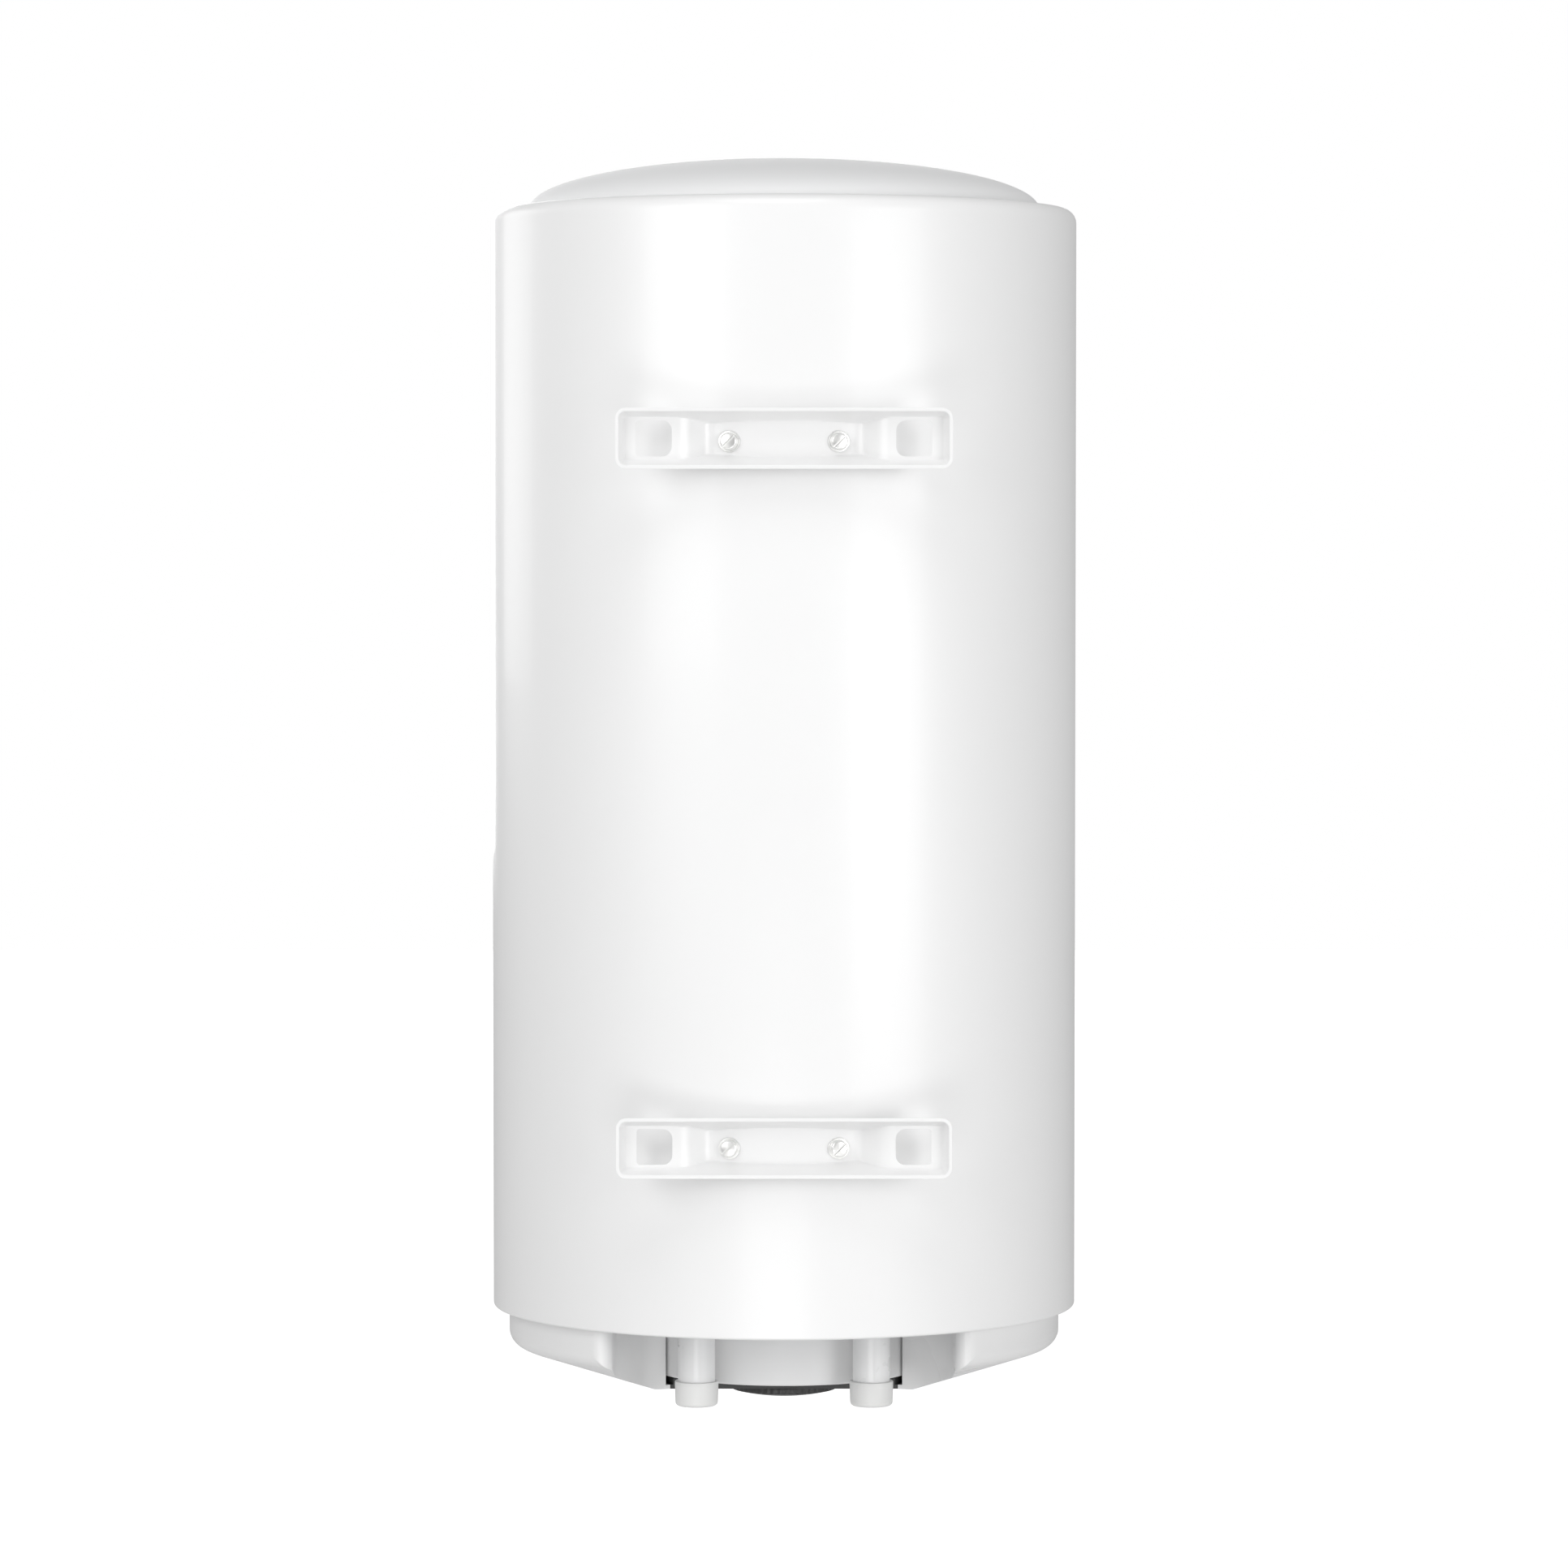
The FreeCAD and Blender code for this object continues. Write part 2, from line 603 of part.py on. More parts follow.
def make_tank_anchor(node, level):
    """Curved strap welded to the tank, with a threaded boss behind each bracket screw."""
    strap_outer = cylinder(node + "_strap_outer", "tank_radius + 2.5", "%s - 14" % level, "28")
    strap_inner = cylinder(node + "_strap_inner", "tank_radius + 0.1", "%s - 14" % level, "28")
    window = box(node + "_window", "90", "60", "28", "0", "150", "%s - 14" % level)
    strap = common(node + "_strap", [cut(node + "_ring", strap_outer, [strap_inner]), window])
    bosses, bores = [], []
    for side in SIDES:
        tag = "_%d" % (side + 2)
        middle = worth(level) + number["bolt_drop"]
        start = number["tank_radius"] + 1.2
        boss = drive(doc.addObject("Part::Cylinder", node + "_boss" + tag), {"Radius": "8", "Height": "19"})
        bosses.append(radial(boss, side * number["bolt_side"], middle, start))
        bore = doc.addObject("Part::Cylinder", node + "_bore" + tag)
        drive(bore, {"Radius": "bolt_radius", "Height": "24"})
        bores.append(radial(bore, side * number["bolt_side"], middle, start - 2))
    return part(node, cut(node + "_cut", fuse(node + "_solid", [strap] + bosses), bores))


def make_insulation_foam():
    block_of_foam = lathe("foam_block", [
        ("0", "shroud_head + deck_gauge"),
        ("foam_radius", "shroud_head + deck_gauge"),
        ("foam_radius", "foam_head - 6"),
        ("foam_radius - 6", "foam_head"),
        ("0", "foam_head"),
    ])
    room = "tank_radius + 0.05"
    rise = "head_rise + 0.05"
    tools = [
        cylinder("foam_barrel", room, "barrel_foot", "barrel_head - barrel_foot"),
        half_ellipsoid("foam_top", rise, room, "barrel_head", True),
        half_ellipsoid("foam_bottom", rise, room, "barrel_foot", False),
        cylinder("foam_mouth", "shroud_radius", "shroud_head - 5", "45"),
    ]
    for side in SIDES:
        tools.append(cylinder("foam_pipe_%d" % (side + 2), "pipe_radius + 0.1", "shroud_head - 5", "60",
                              "%d * pipe_half" % side, "pipe_back"))
    for index, level in enumerate(("0", "0 - bracket_drop")):
        tools.append(box("foam_anchor_%d" % index, "94", "60", "32", "0", "162", "%s - 16.5" % level))
    return part("insulation_foam", cut("foam_cut", block_of_foam, tools))


# ---------------------------------------------------------------------------------------------
# Element flange at the bottom of the tank, and what it carries into the water.
# ---------------------------------------------------------------------------------------------
STUD_TURNS = range(0, FULL_TURN, 60)


def stud_points():
    turns = [math.radians(angle + 30) for angle in STUD_TURNS]
    return [(number["stud_circle"] * math.cos(turn), number["stud_circle"] * math.sin(turn))
            for turn in turns]


def stud_cylinders(name, radius, foot, tall):
    return [cylinder("%s_%d" % (name, index), radius, foot, tall, "%.3f" % across, "%.3f" % back)
            for index, (across, back) in enumerate(stud_points())]


def make_flange_seat():
    ring = cylinder("seat_ring", "neck_radius", "neck_foot", "20")
    tools = [
        cylinder("seat_bore", "neck_bore", "neck_foot", "20"),
        half_ellipsoid("seat_top", "head_rise + 0.05", "tank_radius + 0.05", "barrel_foot", False),
    ]
    tools += stud_cylinders("seat_stud_hole", "stud_radius", "neck_foot", "8")
    return part("flange_seat", cut("seat_cut", ring, tools))


def make_flange_gasket():
    ring = cylinder("gasket_disc", "neck_radius - 1", "gasket_foot", "neck_foot - gasket_foot")
    bore = cylinder("gasket_bore", "neck_bore - 1", "gasket_foot", "5")
    return part("flange_gasket", cut("gasket_cut", ring,
                                     [bore] + stud_cylinders("gasket_hole", "stud_radius", "gasket_foot", "5")))


def make_flange_plate():
    disc = cylinder("plate_disc", "neck_radius", "plate_foot", "gasket_foot - plate_foot")
    tools = stud_cylinders("plate_hole", "stud_radius + 0.3", "plate_foot", "5")
    for side in SIDES:
        tools.append(cylinder("plate_bush_hole_%d" % (side + 2), "7", "plate_foot", "5",
                              "%d * element_half" % side, "element_back"))
    tools.append(cylinder("plate_well_hole", "6", "plate_foot", "5", "0", "well_front"))
    tools.append(cylinder("plate_anode_hole", "3", "plate_foot", "5", "anode_side"))
    return part("flange_plate", cut("plate_cut", disc, tools))


def make_flange_studs():
    studs = stud_cylinders("stud", "stud_radius", "plate_foot - 8", "neck_foot - plate_foot + 16")
    return part("flange_studs", group("stud_group", studs))


def make_flange_nuts():
    nuts = []
    for index, (across, back) in enumerate(stud_points()):
        where = ("%.3f" % across, "%.3f" % back)
        body = prism("nut_body_%d" % index, 6, "5.77", "plate_foot - 5", "5", *where)
        bore = cylinder("nut_bore_%d" % index, "stud_radius", "plate_foot - 6", "8", *where)
        nuts.append(cut("nut_%d" % index, body, [bore]))
    return part("flange_nuts", group("nut_group", nuts))


def make_heating_element():
    """One hairpin of sheathed wire with a terminal pin at each end."""
    legs = []
    for side in SIDES:
        tag = "_%d" % (side + 2)
        where = ("%d * element_half" % side, "element_back")
        legs.append(cylinder("element_leg" + tag, "element_radius", "plate_foot - 5",
                             "element_head - plate_foot + 5", *where))
        legs.append(cylinder("element_pin" + tag, "2", "plate_foot - 20", "16", *where))
    bend = doc.addObject("Part::Torus", "element_bend")
    drive(bend, {"Radius1": "element_half", "Radius2": "element_radius"})
    bend.Angle3 = FULL_TURN / 2
    place(bend, "0", "element_back", "element_head")
    bend.Placement.Rotation = FreeCAD.Rotation(V(1, 0, 0), 90)
    return part("heating_element", fuse("element_solid", legs + [bend]))


def make_element_bushings():
    rings = []
    for side in SIDES:
        tag = "_%d" % (side + 2)
        where = ("%d * element_half" % side, "element_back")
        body = fuse("bush_body" + tag, [
            cylinder("bush_neck" + tag, "7", "plate_foot - 0.1", "8", *where),
            prism("bush_hex" + tag, 6, "9", "plate_foot - 5", "5", *where),
        ])
        bore = cylinder("bush_bore" + tag, "element_radius", "plate_foot - 6", "20", *where)
        rings.append(cut("bush" + tag, body, [bore]))
    return part("element_bushings", group("bush_group", rings))


def make_anode_rod():
    rod = cylinder("anode_bar", "anode_radius", "gasket_foot + 12", "210", "anode_side")
    stem = cylinder("anode_stem", "3", "plate_foot - 8", "30", "anode_side")
    return part("anode_rod", fuse("anode_solid", [rod, stem]))


def make_anode_nut():
    body = prism("anode_nut_body", 6, "6.4", "plate_foot - 5", "5", "anode_side")
    bore = cylinder("anode_nut_bore", "3", "plate_foot - 6", "8", "anode_side")
    return part("anode_nut", cut("anode_nut_cut", body, [bore]))


def make_thermowell():
    tube = cylinder("well_tube", "6", "plate_foot", "240", "0", "well_front")
    bore = cylinder("well_bore", "4.8", "plate_foot - 1", "238", "0", "well_front")
    return part("thermowell", cut("well_cut", tube, [bore]))


# ---------------------------------------------------------------------------------------------
# Components inside the shroud.
# ---------------------------------------------------------------------------------------------
def make_component_carrier():
    """Plate under the flange that the thermostat, cut-out and terminals are fixed to."""
    disc = cylinder("carrier_disc", "55", "carrier_foot", "1.5")
    posts = [cylinder("carrier_post_%d" % index, "4", "carrier_foot + 1.4", "plate_foot - carrier_foot - 1.4",
                      across, back)
             for index, (across, back) in enumerate((("34", "-30"), ("-34", "-30"), ("34", "20")))]
    holes = [cylinder("carrier_well_hole", "5", "carrier_foot - 1", "5", "0", "well_front"),
             box("carrier_gap", "60", "40", "5", "0", "element_back + 6", "carrier_foot - 1")]
    solid = fuse("carrier_solid", [disc] + posts)
    return part("component_carrier", cut("carrier_cut", solid, holes))


def make_thermostat():
    """Rod thermostat: a moulded body with its sensing rod up the thermowell."""
    body = block("thermostat_case", "-24", "24", "-36", "14", "carrier_foot - 26", "carrier_foot")
    rod = cylinder("thermostat_rod", "4", "carrier_foot - 1", "200", "0", "well_front")
    bearing = cylinder("thermostat_bearing", "6", "carrier_foot - 29", "4")
    bore = cylinder("thermostat_bore", "3.1", "carrier_foot - 30", "14")
    return part("thermostat", cut("thermostat_cut", fuse("thermostat_solid", [body, rod, bearing]), [bore]))


def make_thermostat_shaft():
    shaft = cylinder("shaft_round", "2.9", "knob_foot + 4.3", "carrier_foot - knob_foot - 21")
    flat = box("shaft_flat", "8", "2", "14", "0", "2.9", "knob_foot + 4")
    return part("thermostat_shaft", cut("shaft_cut", shaft, [flat]))


def make_thermal_cutout():
    body = block("cutout_case", "reset_side - 12", "reset_side + 12", "reset_front - 14",
                 "reset_front + 14", "carrier_foot - 20", "carrier_foot")
    well = cylinder("cutout_well", "3.4", "carrier_foot - 21", "12", "reset_side", "reset_front")
    return part("thermal_cutout", cut("cutout_cut", body, [well]))


def make_reset_button():
    stem = cylinder("reset_stem", "3", "carrier_foot - 24", "12", "reset_side", "reset_front")
    return part("reset_button", stem)


def make_terminal_block():
    """Three-way terminal block with a barrier between each pair of ways."""
    body = block("terminal_base", "-54", "-30", "-22", "12", "carrier_foot - 12", "carrier_foot")
    walls = [block("terminal_wall_%d" % index, "-54", "-30", "%.1f" % start, "%.1f" % (start + 1.6),
                   "carrier_foot - 17", "carrier_foot - 11")
             for index, start in enumerate((-22, -11.2, -0.4, 10.4))]
    return part("terminal_block", fuse("terminal_solid", [body] + walls))


def make_terminal_screws():
    screws = [cylinder("terminal_screw_%d" % index, "3", "carrier_foot - 14.5", "2.5", "-42", "%.1f" % back)
              for index, back in enumerate((-15.8, -5, 5.8))]
    return part("terminal_screws", group("terminal_screw_group", screws))


def make_internal_wires():
    """Short insulated links between the terminals, cut-out, thermostat and element."""
    deck = number["carrier_foot"]
    routes = [
        [(-42, -23.4, deck - 8), (-42, -36, deck - 16), (-12, -46, deck - 22), (24, -42, deck - 22),
         (42, -30, deck - 16), (42, -20.3, deck - 10)],
        [(25.4, 10, deck - 10), (29, 14, deck - 12), (30, 24, deck - 12), (26, 31, deck - 10),
         (19.3, 32, deck - 9)],
        [(-42, 13.4, deck - 8), (-42, 22, deck - 10), (-33, 30, deck - 11), (-19.3, 32, deck - 9)],
    ]
    wires = []
    for index, route in enumerate(routes):
        path = doc.addObject("Part::Polygon", "wire_path_%d" % index)
        path.Nodes = [V(across, back - number["axis_gap"], level) for across, back, level in route]
        start, after = path.Nodes[0], path.Nodes[1]
        ring = doc.addObject("Part::Circle", "wire_ring_%d" % index)
        ring.Radius = 1.2
        ring.Placement = FreeCAD.Placement(start, FreeCAD.Rotation(UP, after - start))
        doc.recompute()
        tube = doc.addObject("Part::Sweep", "wire_%d" % index)
        tube.Sections = [ring]
        tube.Spine = (path, ["Edge%d" % (number_of + 1) for number_of in range(len(route) - 1)])
        tube.Solid = True
        tube.Transition = "Round corner"
        wires.append(tube)
    return part("internal_wires", group("wire_group", wires))


def make_pilot_lamp():
    lens = lathe("lamp_lens", [
        ("0", "bowl_floor - 2.2"),
        ("5.8", "bowl_floor - 2.2", "1.6"),
        ("5.8", "bowl_floor"),
        ("5", "bowl_floor"),
        ("5", "bowl_floor + 9"),
        ("0", "bowl_floor + 9"),
    ], "0", "lamp_front")
    return part("pilot_lamp", lens)


def make_cable_gland():
    """Gland nut and body that grip the supply cable."""
    body = lathe("gland_body", [
        ("gland_bore", "bowl_floor - 7.5"),
        ("7.2", "bowl_floor - 7.5", "1.2"),
        ("8.6", "bowl_floor - 3"),
        ("10.5", "bowl_floor - 3", "0.6"),
        ("10.5", "bowl_floor"),
        ("8", "bowl_floor"),
        ("8", "bowl_floor + 12"),
        ("gland_bore", "bowl_floor + 12"),
    ], "gland_side", "gland_front")
    return part("cable_gland", body)


def make_cable_gland_nut():
    body = prism("gland_nut_body", 6, "11", "bowl_floor + cover_wall", "4", "gland_side", "gland_front")
    bore = cylinder("gland_nut_bore", "8", "bowl_floor", "10", "gland_side", "gland_front")
    return part("cable_gland_nut", cut("gland_nut_cut", body, [bore]))


def make_thermostat_knob():
    """Shallow domed knob with a pointer rib, on a hub that reaches up through the hatch."""
    dome = lathe("knob_dome", [
        ("0", "knob_foot"),
        ("0.5 * knob_radius", "knob_foot", "118"),
        ("knob_radius", "knob_foot + 4"),
        ("knob_radius", "knob_face"),
        ("knob_radius - 2", "knob_face"),
        ("knob_radius - 2", "knob_foot + 5.4"),
        ("7", "knob_foot + 3"),
        ("7", "knob_face + 8"),
        ("3", "knob_face + 8"),
        ("3", "knob_foot + 4"),
        ("0", "knob_foot + 4"),
    ])
    rib = box("knob_rib", "2.4", "13", "3", "0", "8 - knob_radius", "knob_foot + 0.4")
    return part("thermostat_knob", fuse("knob_solid", [dome, rib]))


# ---------------------------------------------------------------------------------------------
# Water pipes and their protective caps.
# ---------------------------------------------------------------------------------------------
def make_pipe(node, side):
    """Pipe stub welded into the bottom head. Its end is threaded; the thread is shown plain, over
    its crests, with a lead-in chamfer."""
    return part(node, lathe(node + "_pipe", [
        ("pipe_bore", "pipe_foot"),
        ("thread_radius - 0.6", "pipe_foot"),
        ("thread_radius", "pipe_foot + 0.6"),
        ("thread_radius", "thread_head"),
        ("pipe_radius", "thread_head"),
        ("pipe_radius", "barrel_foot - 27"),
        ("pipe_bore", "barrel_foot - 27"),
    ], "%d * pipe_half" % side, "pipe_back"))


def make_cap(node, side):
    return part(node, lathe(node + "_cap", [
        ("0", "cap_foot"),
        ("cap_radius", "cap_foot", "2.5"),
        ("cap_radius", "cap_head", "0.6"),
        ("pipe_radius + 0.1", "cap_head"),
        ("pipe_radius + 0.1", "thread_head + 0.3"),
        ("cap_radius - 1.05", "thread_head + 0.3"),
        ("cap_radius - 1.05", "cap_foot + 1"),
        ("0", "cap_foot + 1"),
    ], "%d * pipe_half" % side, "pipe_back"))


def make_cold_inlet_diffuser():
    """Slotted plastic cap that spreads the incoming cold water along the tank's bottom."""
    where = ("pipe_half", "pipe_back")
    outer = cylinder("diffuser_outer", "13.5", "barrel_foot - 27", "18", *where)
    inner = cylinder("diffuser_inner", "11.5", "barrel_foot - 28", "16", *where)
    slots = [box("diffuser_slot_a", "30", "5", "8", "pipe_half", "pipe_back", "barrel_foot - 23"),
             box("diffuser_slot_b", "5", "30", "8", "pipe_half", "pipe_back", "barrel_foot - 23")]
    return part("cold_inlet_diffuser", cut("diffuser_cut", outer, [inner] + slots))


def make_hot_dip_tube():
    where = ("0 - pipe_half", "pipe_back")
    outer = cylinder("dip_outer", "pipe_bore", "barrel_foot - 80", "595", *where)
    inner = cylinder("dip_inner", "pipe_bore - 0.8", "barrel_foot - 81", "600", *where)
    return part("hot_dip_tube", cut("dip_cut", outer, [inner]))


# ---------------------------------------------------------------------------------------------
# Wall brackets: pressed trays whose rims lie on the wall. The ends hold the hook holes and the
# middle is pressed deeper, down to the casing.
# ---------------------------------------------------------------------------------------------
WALL_LEAN = "0.333"


def tray(name, inset, lift):
    """The space of the pressing, inside its sheet when inset is the gauge. It reaches lift past
    the wall plane."""
    def wall_at(half, depth):
        return "%s - %s - %s * %s" % (half, inset, WALL_LEAN, depth)
    ends = mirrored([
        ("bracket_half - %s + %s * %s" % (inset, WALL_LEAN, lift), lift),
        (wall_at("bracket_half", "ear_depth"), inset + " - ear_depth", "1.5"),
        ("ear_inner - 0.35 * " + inset, inset + " - ear_depth", "5"),
        ("saddle_half - 0.35 * " + inset, inset + " - saddle_depth"),
    ])
    plan = stand(pad(name + "_plan", "XY_Plane", ends, "2 * bracket_rise"), level="-1 * bracket_rise")
    slopes = mirrored_up([
        (lift, "bracket_rise - %s + %s * %s" % (inset, WALL_LEAN, lift)),
        (inset + " - saddle_depth", wall_at("bracket_rise", "saddle_depth")),
    ])
    side = stand(pad(name + "_side", "YZ_Plane", slopes, "2 * bracket_half"), "-1 * bracket_half")
    corner = "bracket_corner - 0.5 * " + inset
    face = [("%s * bracket_half %s %s" % (sx, "+" if sx == "-1" else "-", inset),
             "%s * bracket_rise %s %s" % (sz, "+" if sz == "-1" else "-", inset), corner)
            for sx, sz in (("-1", "-1"), ("1", "-1"), ("1", "1"), ("-1", "1"))]
    front = stand(pad(name + "_front", "XZ_Plane", face, "40"), back="5")
    casing = cylinder(name + "_casing", "casing_radius + " + inset, "0 - 2 * bracket_rise",
                      "4 * bracket_rise")
    return cut(name, common(name + "_raw", [plan, side, front]), [casing])


def mirrored_up(corners):
    """The corners followed by their mirror images below the middle, in reverse order."""
    other = [(corner[0], negated(corner[1])) for corner in reversed(corners)]
    return list(corners) + other


def make_wall_brackets():
    solid = tray("tray_outer", "0", "0")
    hollow = tray("tray_inner", "bracket_gauge", "1")
    hooks = []
    for side in SIDES:
        inner = "%d * hook_centre %s hook_half" % (side, "-" if side > 0 else "+")
        outer = "%d * hook_centre %s hook_half" % (side, "+" if side > 0 else "-")
        corners = [(inner, "-1 * hook_half", "5.5"), (outer, "-1 * hook_half", "2"),
                   (outer, "hook_half", "2"), (inner, "hook_half", "5.5")]
        if side < 0:
            corners.reverse()
        hooks.append(stand(pad("hook_hole_%d" % (side + 2), "XZ_Plane", corners, "20")))
    drills = []
    for side in SIDES:
        drill = doc.addObject("Part::Cylinder", "bracket_drill_%d" % (side + 2))
        drive(drill, {"Radius": "bolt_radius + 0.4", "Height": "20"})
        drills.append(radial(drill, side * number["bolt_side"], number["bolt_drop"],
                             number["casing_radius"] - 6))
    upper = cut("bracket_pressing", solid, [hollow] + hooks + drills)
    lower = doc.addObject("Part::Compound", "bracket_copy")
    lower.Links = [upper]
    stand(lower, level="0 - bracket_drop")
    part("wall_bracket_upper", upper)
    part("wall_bracket_lower", lower)


SLOT_TURN = 43


def make_bracket_fasteners(node_start, level):
    """Two slotted screws and two washers, square to the casing."""
    screws, washers = [], []
    surface = number["casing_radius"] + number["bracket_gauge"] + 0.1
    for side in SIDES:
        tag = "%s_%d" % (node_start, side + 2)
        where = (side * number["bolt_side"], level + number["bolt_drop"])
        disc = drive(doc.addObject("Part::Cylinder", tag + "_disc"), {"Radius": "6", "Height": "1.2"})
        hole = doc.addObject("Part::Cylinder", tag + "_hole")
        drive(hole, {"Radius": "bolt_radius + 0.2", "Height": "1.2"})
        washers.append(cut(tag + "_washer", radial(disc, *where, surface), [radial(hole, *where, surface)]))
        head = doc.addObject("Part::Cylinder", tag + "_head")
        drive(head, {"Radius": "5", "Height": "3"})
        shank = doc.addObject("Part::Cylinder", tag + "_shank")
        drive(shank, {"Radius": "bolt_radius", "Height": "20"})
        slot = doc.addObject("Part::Box", tag + "_slot")
        drive(slot, {"Length": "14", "Width": "1.3", "Height": "2"})
        radial(head, *where, surface + 1.2)
        radial(shank, *where, surface + 1.2 - 20)
        radial(slot, *where, surface + 1.2 + 1.7)
        spin = FreeCAD.Rotation(UP, SLOT_TURN)
        shift = FreeCAD.Placement(V(-7, -0.65, 0), FreeCAD.Rotation())
        slot.Placement = slot.Placement * FreeCAD.Placement(V(), spin) * shift
        screws.append(cut(tag + "_screw", fuse(tag + "_solid", [head, shank]), [slot]))
    part(node_start + "_screws", group(node_start + "_screw_group", screws))
    part(node_start + "_washers", group(node_start + "_washer_group", washers))


# ---------------------------------------------------------------------------------------------
# The whole heater
# ---------------------------------------------------------------------------------------------
make_casing()
make_top_cover()
make_lower_cover()
make_service_cover()
make_service_cover_screws()
make_electrics_shroud()
make_shroud_screws()
make_foam_base_plate()
make_pipe_grommets()
make_tank_barrel()
make_tank_top_head()
make_tank_bottom_head()
make_tank_anchor("tank_anchor_upper", "0")
make_tank_anchor("tank_anchor_lower", "0 - bracket_drop")
make_insulation_foam()
make_flange_seat()
make_flange_gasket()
make_flange_plate()
make_flange_studs()
make_flange_nuts()
make_heating_element()
make_element_bushings()
make_anode_rod()
make_anode_nut()
make_thermowell()
make_component_carrier()
make_thermostat()
make_thermostat_shaft()
make_thermal_cutout()
make_reset_button()
make_terminal_block()
make_terminal_screws()
make_internal_wires()
make_pilot_lamp()
make_cable_gland()
make_cable_gland_nut()
make_thermostat_knob()
make_pipe("cold_inlet_pipe", 1)
make_pipe("hot_outlet_pipe", -1)
make_cap("cold_inlet_cap", 1)
make_cap("hot_outlet_cap", -1)
make_cold_inlet_diffuser()
make_hot_dip_tube()
make_wall_brackets()
make_bracket_fasteners("upper_bracket", BRACKET_LEVELS[0])
make_bracket_fasteners("lower_bracket", BRACKET_LEVELS[1])

doc.recompute()

problems = []
for item in doc.Objects:
    if "Invalid" in item.State or "Error" in item.State:
        problems.append("%s: %s" % (item.Name, item.State))
for item in nodes:
    if item.Shape.isNull() or not item.Shape.isValid() or not item.Shape.Solids:
        problems.append("%s: bad shape" % item.Label)
if problems:
    raise SystemExit("\n".join(problems))

for item in nodes:
    item.Shape.exportStep("parts/%s.step" % item.Label)
    bounds = item.Shape.BoundBox
    print("%-24s %2d solid  %10.1f mm3  z %.1f to %.1f"
          % (item.Label, len(item.Shape.Solids), item.Shape.Volume, bounds.ZMin, bounds.ZMax))
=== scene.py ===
# %% [markdown]
# # A slim water heater, seen from the side that hangs on the wall
#
# The heater is a painted steel drum with a domed plastic cover on top, a moulded bowl below, two
# pressed brackets that hook onto the wall, and two water pipes that come out of a notch in the
# bowl. The engineering model already fixes every size and place. This lesson keeps those sizes and
# makes each piece on show look like what it is made of.
#
# The frame is loaded first, before anything else exists. Each engineering part arrives as one
# object with its place in its mesh, and we note the size of the whole model, which is printed at
# the end.

import json
import math

import bmesh
import bpy
from mathutils import Matrix, Vector


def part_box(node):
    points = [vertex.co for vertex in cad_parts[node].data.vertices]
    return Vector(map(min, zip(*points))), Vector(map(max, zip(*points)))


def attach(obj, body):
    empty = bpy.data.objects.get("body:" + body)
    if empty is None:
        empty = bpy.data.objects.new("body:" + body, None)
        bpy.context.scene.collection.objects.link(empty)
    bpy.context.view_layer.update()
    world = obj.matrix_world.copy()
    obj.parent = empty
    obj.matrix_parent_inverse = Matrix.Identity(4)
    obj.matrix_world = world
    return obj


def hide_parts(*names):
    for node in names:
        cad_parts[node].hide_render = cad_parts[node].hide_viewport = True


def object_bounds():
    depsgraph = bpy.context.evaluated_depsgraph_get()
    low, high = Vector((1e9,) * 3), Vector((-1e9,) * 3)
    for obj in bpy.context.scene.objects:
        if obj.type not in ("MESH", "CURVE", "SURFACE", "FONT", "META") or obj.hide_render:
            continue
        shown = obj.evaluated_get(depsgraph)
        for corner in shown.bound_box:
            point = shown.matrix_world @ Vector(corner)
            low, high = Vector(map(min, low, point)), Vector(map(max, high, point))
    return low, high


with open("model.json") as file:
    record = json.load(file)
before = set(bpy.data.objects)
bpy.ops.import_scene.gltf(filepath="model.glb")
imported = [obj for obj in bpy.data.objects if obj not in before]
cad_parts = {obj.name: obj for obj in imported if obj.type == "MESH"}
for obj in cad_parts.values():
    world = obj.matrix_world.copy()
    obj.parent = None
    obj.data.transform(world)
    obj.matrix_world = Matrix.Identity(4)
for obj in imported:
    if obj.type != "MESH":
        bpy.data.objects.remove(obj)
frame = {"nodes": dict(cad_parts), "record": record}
cad_box = [list(corner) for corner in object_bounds()]

# %% [markdown]
# ## Measures
#
# All lengths in Blender are metres, but small parts are easier to think of in millimetres, so `MM`
# turns one into the other. The places come from the boxes of the engineering parts: the knob, which
# sits in the middle underneath, gives the heater's own axis, and the casing gives its radius and
# height. The wall plane is where Y is nought, at the rims of the brackets.

# %% Read the main measures from the frame
MM = 0.001
FULL_TURN = 2 * math.pi


def low(node):
    """Lowest corner of an engineering part's box."""
    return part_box(node)[0]


def high(node):
    """Highest corner of an engineering part's box."""
    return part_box(node)[1]


def middle(node):
    """Middle of an engineering part's box."""
    return (low(node) + high(node)) / 2


axis_x = round(middle("thermostat_knob").x, 4)
axis_y = round(middle("thermostat_knob").y, 4)
casing_radius = round((high("casing").x - low("casing").x) / 2, 3)
casing_foot = low("casing").z
casing_head = high("casing").z
print("casing radius %.3f, from %.3f to %.3f" % (casing_radius, casing_foot, casing_head))

# %% [markdown]
# ## Camera
#
# The heater is shown from behind, so that a fitter can see the brackets. A long lens far away keeps
# the sides of the drum almost parallel, where a short lens close by would taper them. The camera
# stands on the wall side and looks along -Y, tipped down a little over two degrees.

# %% Place the camera
CAMERA_LENS = 133.65
CAMERA_DISTANCE = 3.400
CAMERA_LEVEL = 0.4386
CAMERA_TIP = 2.27
SENSOR_WIDTH = 36
FARTHEST_SEEN = 60

